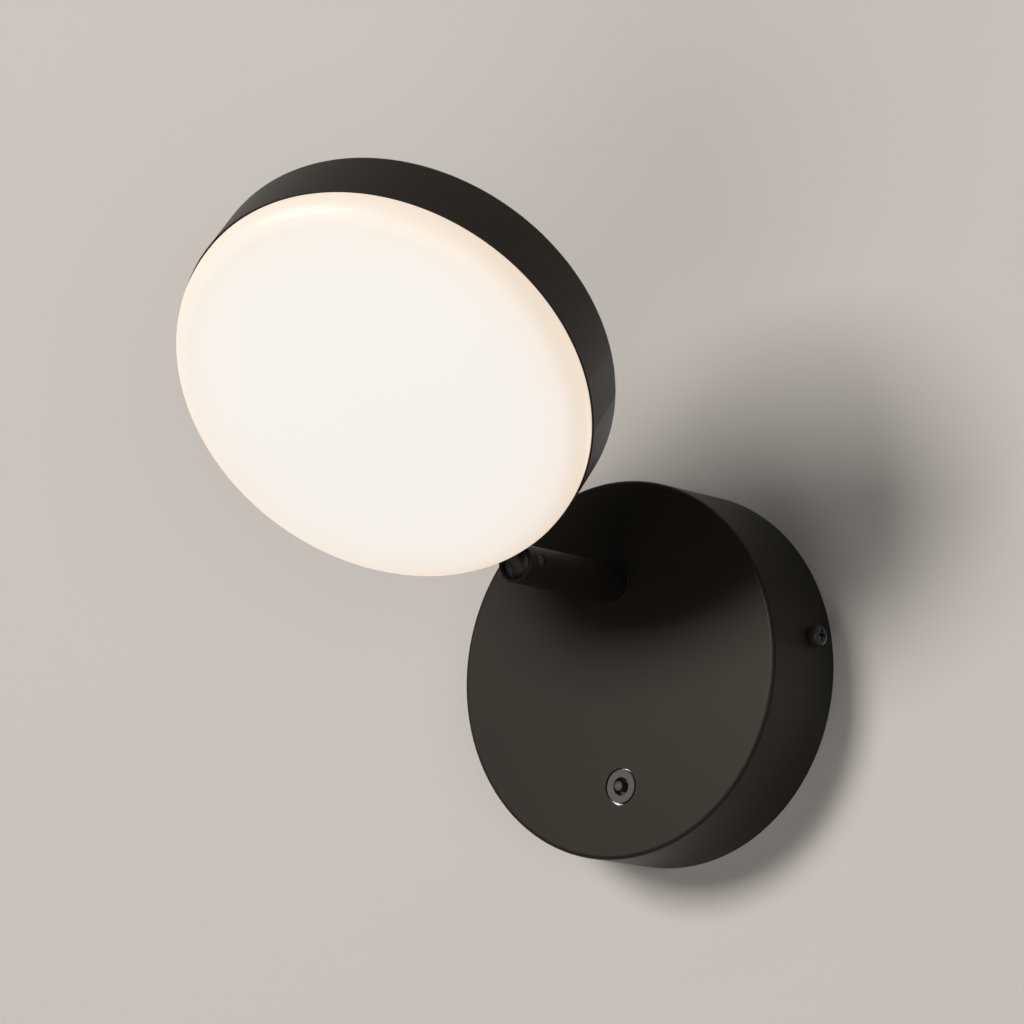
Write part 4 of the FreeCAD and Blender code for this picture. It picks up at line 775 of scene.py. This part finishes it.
class BuildButton(bpy.types.Operator):
    """Turn the flush ring and the plunger of the push button"""
    bl_idname = "wall_light.button"
    bl_label = "Push button"

    def execute(self, context):
        settings = context.scene.wall_light
        can, key = settings.canopy, settings.button
        centre = (0.0, 0.0, -can.button_drop)
        satin = finish_named("turned_metal", turned_metal, settings.finishes.ring, centre, RING_ROUGHNESS)
        bore_edge, ring_edge, tip_edge = 0.24 * MM, 0.06 * MM, 0.2 * MM
        ring = turned("button_ring", [
            (key.bore, can.depth, bore_edge), (key.ring, can.depth, ring_edge), (key.ring, key.back),
            (key.bore, key.back)], satin, segments=128)
        tip = can.depth + key.proud
        dish_floor, dish_rim = key.stem * 0.55, key.stem * 0.75
        plunger = turned("plunger", [
            (0, tip - key.dish), (dish_floor, tip - key.dish), (dish_rim, tip), (key.stem, tip, tip_edge),
            (key.stem, key.collar_front), (key.collar, key.collar_front), (key.collar, key.collar_back),
            (key.tail, key.collar_back), (key.tail, key.tail_back), (0, key.tail_back)], satin, segments=96)
        for piece, body, node in ((ring, "canopy", "switch_bezel"), (plunger, "button", "switch_button")):
            smooth(placed(piece, Matrix.Translation(centre)))
            on_body(piece, body, node)
        spring = welded_copy("switch_spring", finish_for(settings, "switch_spring"))
        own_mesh(spring)
        return {"FINISHED"}


class BuildArm(bpy.types.Operator):
    """Turn the arm's tube, slot its open end and bore the pin's holes"""
    bl_idname = "wall_light.arm"
    bl_label = "Arm"

    def execute(self, context):
        settings = context.scene.wall_light
        arm = settings.arm
        paint = finish_named("powder_coat", powder_coat, settings.finishes.paint)
        bore = arm.radius - arm.wall
        tube = turned("arm", [
            (bore, arm.base), (bore, arm.end - arm.chamfer), (bore + arm.chamfer, arm.end),
            (arm.radius - arm.chamfer, arm.end), (arm.radius, arm.end - arm.chamfer),
            (arm.radius, arm.base)], paint, segments=128)
        half, past = arm.slot_half, arm.radius * 2
        slot_centre = arm.slot_back + half
        slot = block("slot", (-half, -arm.end * PAST, 0.0), (half, -slot_centre, past))
        upright = Matrix.Translation((0, -slot_centre, 0)) @ Matrix.Rotation(math.radians(90), 4, "X")
        slot_end = placed(rod("slot_end", half, -past, 0.0, paint), upright)
        pivot = arm.end - arm.pivot_inset
        across = Matrix.Translation((0, -pivot, 0)) @ Matrix.Rotation(math.radians(90), 4, "Z")
        pin_hole = placed(rod("pin_hole", arm.pin_hole, -past, past, paint), across)
        cut(tube, [slot, outward(slot_end), outward(pin_hole)])
        smooth(placed(tube, arm_frame(settings)))
        on_body(tube, "arm", "arm_tube")
        return {"FINISHED"}


class BuildHinge(bpy.types.Operator):
    """Dress the fork, pin, washers, tongue and swivel bush"""
    bl_idname = "wall_light.hinge"
    bl_label = "Hinge"

    def execute(self, context):
        settings = context.scene.wall_light
        for node in ("fork_insert", "hinge_pin", "hinge_washers", "hinge_tongue", "swivel_bush"):
            welded_copy(node, finish_for(settings, node))
        return {"FINISHED"}


class BuildHead(bpy.types.Operator):
    """Turn the head's shell and cut the tongue's slot"""
    bl_idname = "wall_light.head"
    bl_label = "Head"

    def execute(self, context):
        settings = context.scene.wall_light
        head = settings.head
        paint = finish_named("powder_coat", powder_coat, settings.finishes.paint)
        place = head_frame(settings)
        half = head.depth / 2
        inner = head.radius - head.wall
        inner_edge, rim_edge = head.wall * 0.5, 0.15 * MM
        shell = turned("head_shell_turned", [
            (0, -half), (0, -half + head.wall), (inner, -half + head.wall, inner_edge),
            (inner, half, rim_edge), (head.radius, half, rim_edge), (head.radius, -half, head.edge)],
            paint, segments=288)
        slot = block("slot", (-head.slot_half, -head.slot_reach, -head.radius - head.wall),
                     (head.slot_half, head.slot_reach, -head.radius + head.wall * THROUGH))
        cut(shell, [slot])
        smooth(placed(shell, place))
        on_body(shell, "head", "head_shell")
        return {"FINISHED"}


class BuildOpal(bpy.types.Operator):
    """Turn the opal front, with its skirt inside the shell and its crowned face"""
    bl_idname = "wall_light.opal"
    bl_label = "Opal front"

    def execute(self, context):
        settings = context.scene.wall_light
        head = settings.head
        place = head_frame(settings)
        half = head.depth / 2
        side = half + head.front
        top = side + head.crown
        sphere = (head.lip ** 2 + head.crown ** 2) / (head.crown * 2)
        hollow = sphere - head.opal

        def rise(radius, ball):
            """Depth of a ball about the crown's centre at a radius."""
            return top - sphere + math.sqrt(ball ** 2 - radius ** 2)

        rings = 12
        steps = [head.lip * ring / rings for ring in range(rings - 1)]
        crown = [(radius, rise(radius, sphere)) for radius in steps]
        inside = [(radius, rise(radius, hollow)) for radius in reversed(steps[:-1])]
        opal = finish_named("lit_opal", lit_opal, settings.finishes, place, head.lip)
        front = turned("opal_front", crown + [
            (head.lip, side, head.front_edge), (head.lip, half), (head.lip_seat, half),
            (head.lip_seat, half - head.lip_step), (head.skirt_outer, half - head.lip_step),
            (head.skirt_outer, half - head.skirt_reach), (head.skirt_inner, half - head.skirt_reach),
            (head.skirt_inner, rise(head.skirt_inner, hollow), head.front_edge - head.opal)] + inside,
            opal, segments=256)
        smooth(placed(front, place), limit=40.0)
        on_body(front, "head", "diffuser")
        return {"FINISHED"}


class BuildScrews(bpy.types.Operator):
    """Set the two side screws, with a cross in each head"""
    bl_idname = "wall_light.screws"
    bl_label = "Screws"

    def execute(self, context):
        settings = context.scene.wall_light
        can = settings.canopy
        ways = (1, -1)
        seats = [(way * can.radius, -can.screw_depth, can.screw_height) for way in ways]
        sizes = (can.screw_head, can.screw_head_height, can.screw_shank, can.screw_length)
        screw_set("side_screw_set", "side_screws", finish_for(settings, "side_screws"), seats,
                  [(way, 0, 0) for way in ways], sizes)
        return {"FINISHED"}


class BuildInside(bpy.types.Operator):
    """Dress what lies behind the canopy and inside the head"""
    bl_idname = "wall_light.inside"
    bl_label = "Inside"

    def execute(self, context):
        settings = context.scene.wall_light
        dressed = {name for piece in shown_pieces() for name in piece.get("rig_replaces", [])}
        for node, solid in list(frame["nodes"].items()):
            if not solid.hide_render and node not in dressed:
                welded_copy(node, finish_for(settings, node))
        return {"FINISHED"}


class BuildStage(bpy.types.Operator):
    """Set the wall, the lamps, the world and the camera"""
    bl_idname = "wall_light.stage"
    bl_label = "Stage"

    def execute(self, context):
        settings = context.scene.wall_light
        paint = finish_named("stage_paint", stage_paint, settings.finishes.wall)
        reach = WALL_REACH
        wall = new_piece("wall", [(-reach, 0, -reach), (reach, 0, -reach), (reach, 0, reach),
                                  (-reach, 0, reach)], [(0, 1, 2, 3)])
        wall.data.materials.append(paint)
        wall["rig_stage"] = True
        for name, (size, place, tone) in LAMPS.items():
            self.lamp(name, getattr(settings.stage, name), size, place, tone)
        self.world(context, settings.finishes.wall)
        self.camera(context)
        context.scene.view_settings.view_transform = "Standard"
        return {"FINISHED"}

    def lamp(self, name, power, size, place, tone):
        """One square lamp that faces the light."""
        data = bpy.data.lights.new(name, "AREA")
        data.energy, data.size, data.color = power, size, tone
        lamp = bpy.data.objects.new(name, data)
        lamp.location = place
        lamp.rotation_euler = (-Vector(place)).to_track_quat("-Z", "Y").to_euler()
        bpy.context.scene.collection.objects.link(lamp)

    def world(self, context, tone):
        """A background in the wall's tone for the camera, and a dim room for reflections alone."""
        world = bpy.data.worlds.new("stage_world")
        world.use_nodes = True
        world.node_tree.nodes.clear()
        nodes = Nodes(world.node_tree)
        rays = nodes.add("ShaderNodeLightPath").outputs
        mirrored = nodes.calc("MAXIMUM", rays["Is Glossy Ray"], rays["Is Transmission Ray"])
        room = nodes.calc("MULTIPLY", mirrored, ROOM_SHARE)
        seen = nodes.calc("MAXIMUM", rays["Is Camera Ray"], room)
        back = nodes.add("ShaderNodeBackground", {"Color": rgb(tone), "Strength": seen})
        nodes.add("ShaderNodeOutputWorld", {"Surface": back.outputs[0]})
        context.scene.world = world

    def camera(self, context):
        """The photographed view: from the lower right, with a long lens and a slight roll."""
        data = bpy.data.cameras.new("camera")
        data.lens, data.sensor_width = CAMERA_LENS, CAMERA_SENSOR
        data.clip_start, data.clip_end = CAMERA_NEAR, CAMERA_FAR
        camera = bpy.data.objects.new("camera", data)
        azimuth, elevation, roll = (math.radians(turn) for turn in CAMERA_TURNS)
        back = Vector((math.sin(azimuth) * math.cos(elevation), -math.cos(azimuth) * math.cos(elevation),
                       math.sin(elevation)))
        right = Vector((math.cos(azimuth), math.sin(azimuth), 0.0))
        up = back.cross(right)
        across = right * math.cos(roll) + up * math.sin(roll)
        above = up * math.cos(roll) - right * math.sin(roll)
        view = Matrix((across, above, back)).transposed().to_4x4()
        view.translation = CAMERA_PLACE
        camera.matrix_world = view
        context.scene.collection.objects.link(camera)
        context.scene.camera = camera


STEPS = (BuildCanopy, BuildButton, BuildArm, BuildHinge, BuildHead, BuildOpal, BuildScrews, BuildInside,
         BuildStage)


class WallLightPanel(bpy.types.Panel):
    """Buttons that build the light, piece by piece"""
    bl_idname = "VIEW3D_PT_wall_light"
    bl_label = "Wall Light"
    bl_space_type = "VIEW_3D"
    bl_region_type = "UI"
    bl_category = "Wall Light"

    def draw(self, context):
        for step in STEPS:
            self.layout.operator(step.bl_idname)


CLASSES = (CanopySizes, ButtonSizes, ArmSizes, HeadSizes, Finishes, StageSettings, WallLightSettings, *STEPS,
           WallLightPanel)


def register():
    """Register the classes and the settings."""
    for item in CLASSES:
        bpy.utils.register_class(item)
    bpy.types.Scene.wall_light = bpy.props.PointerProperty(type=WallLightSettings)


def unregister():
    """Take the classes and the settings out again."""
    del bpy.types.Scene.wall_light
    for item in reversed(CLASSES):
        bpy.utils.unregister_class(item)


def main():
    """Build the whole light."""
    register()
    for step in STEPS:
        group, name = step.bl_idname.split(".")
        getattr(getattr(bpy.ops, group), name)()


if __name__ == "__main__":
    main()
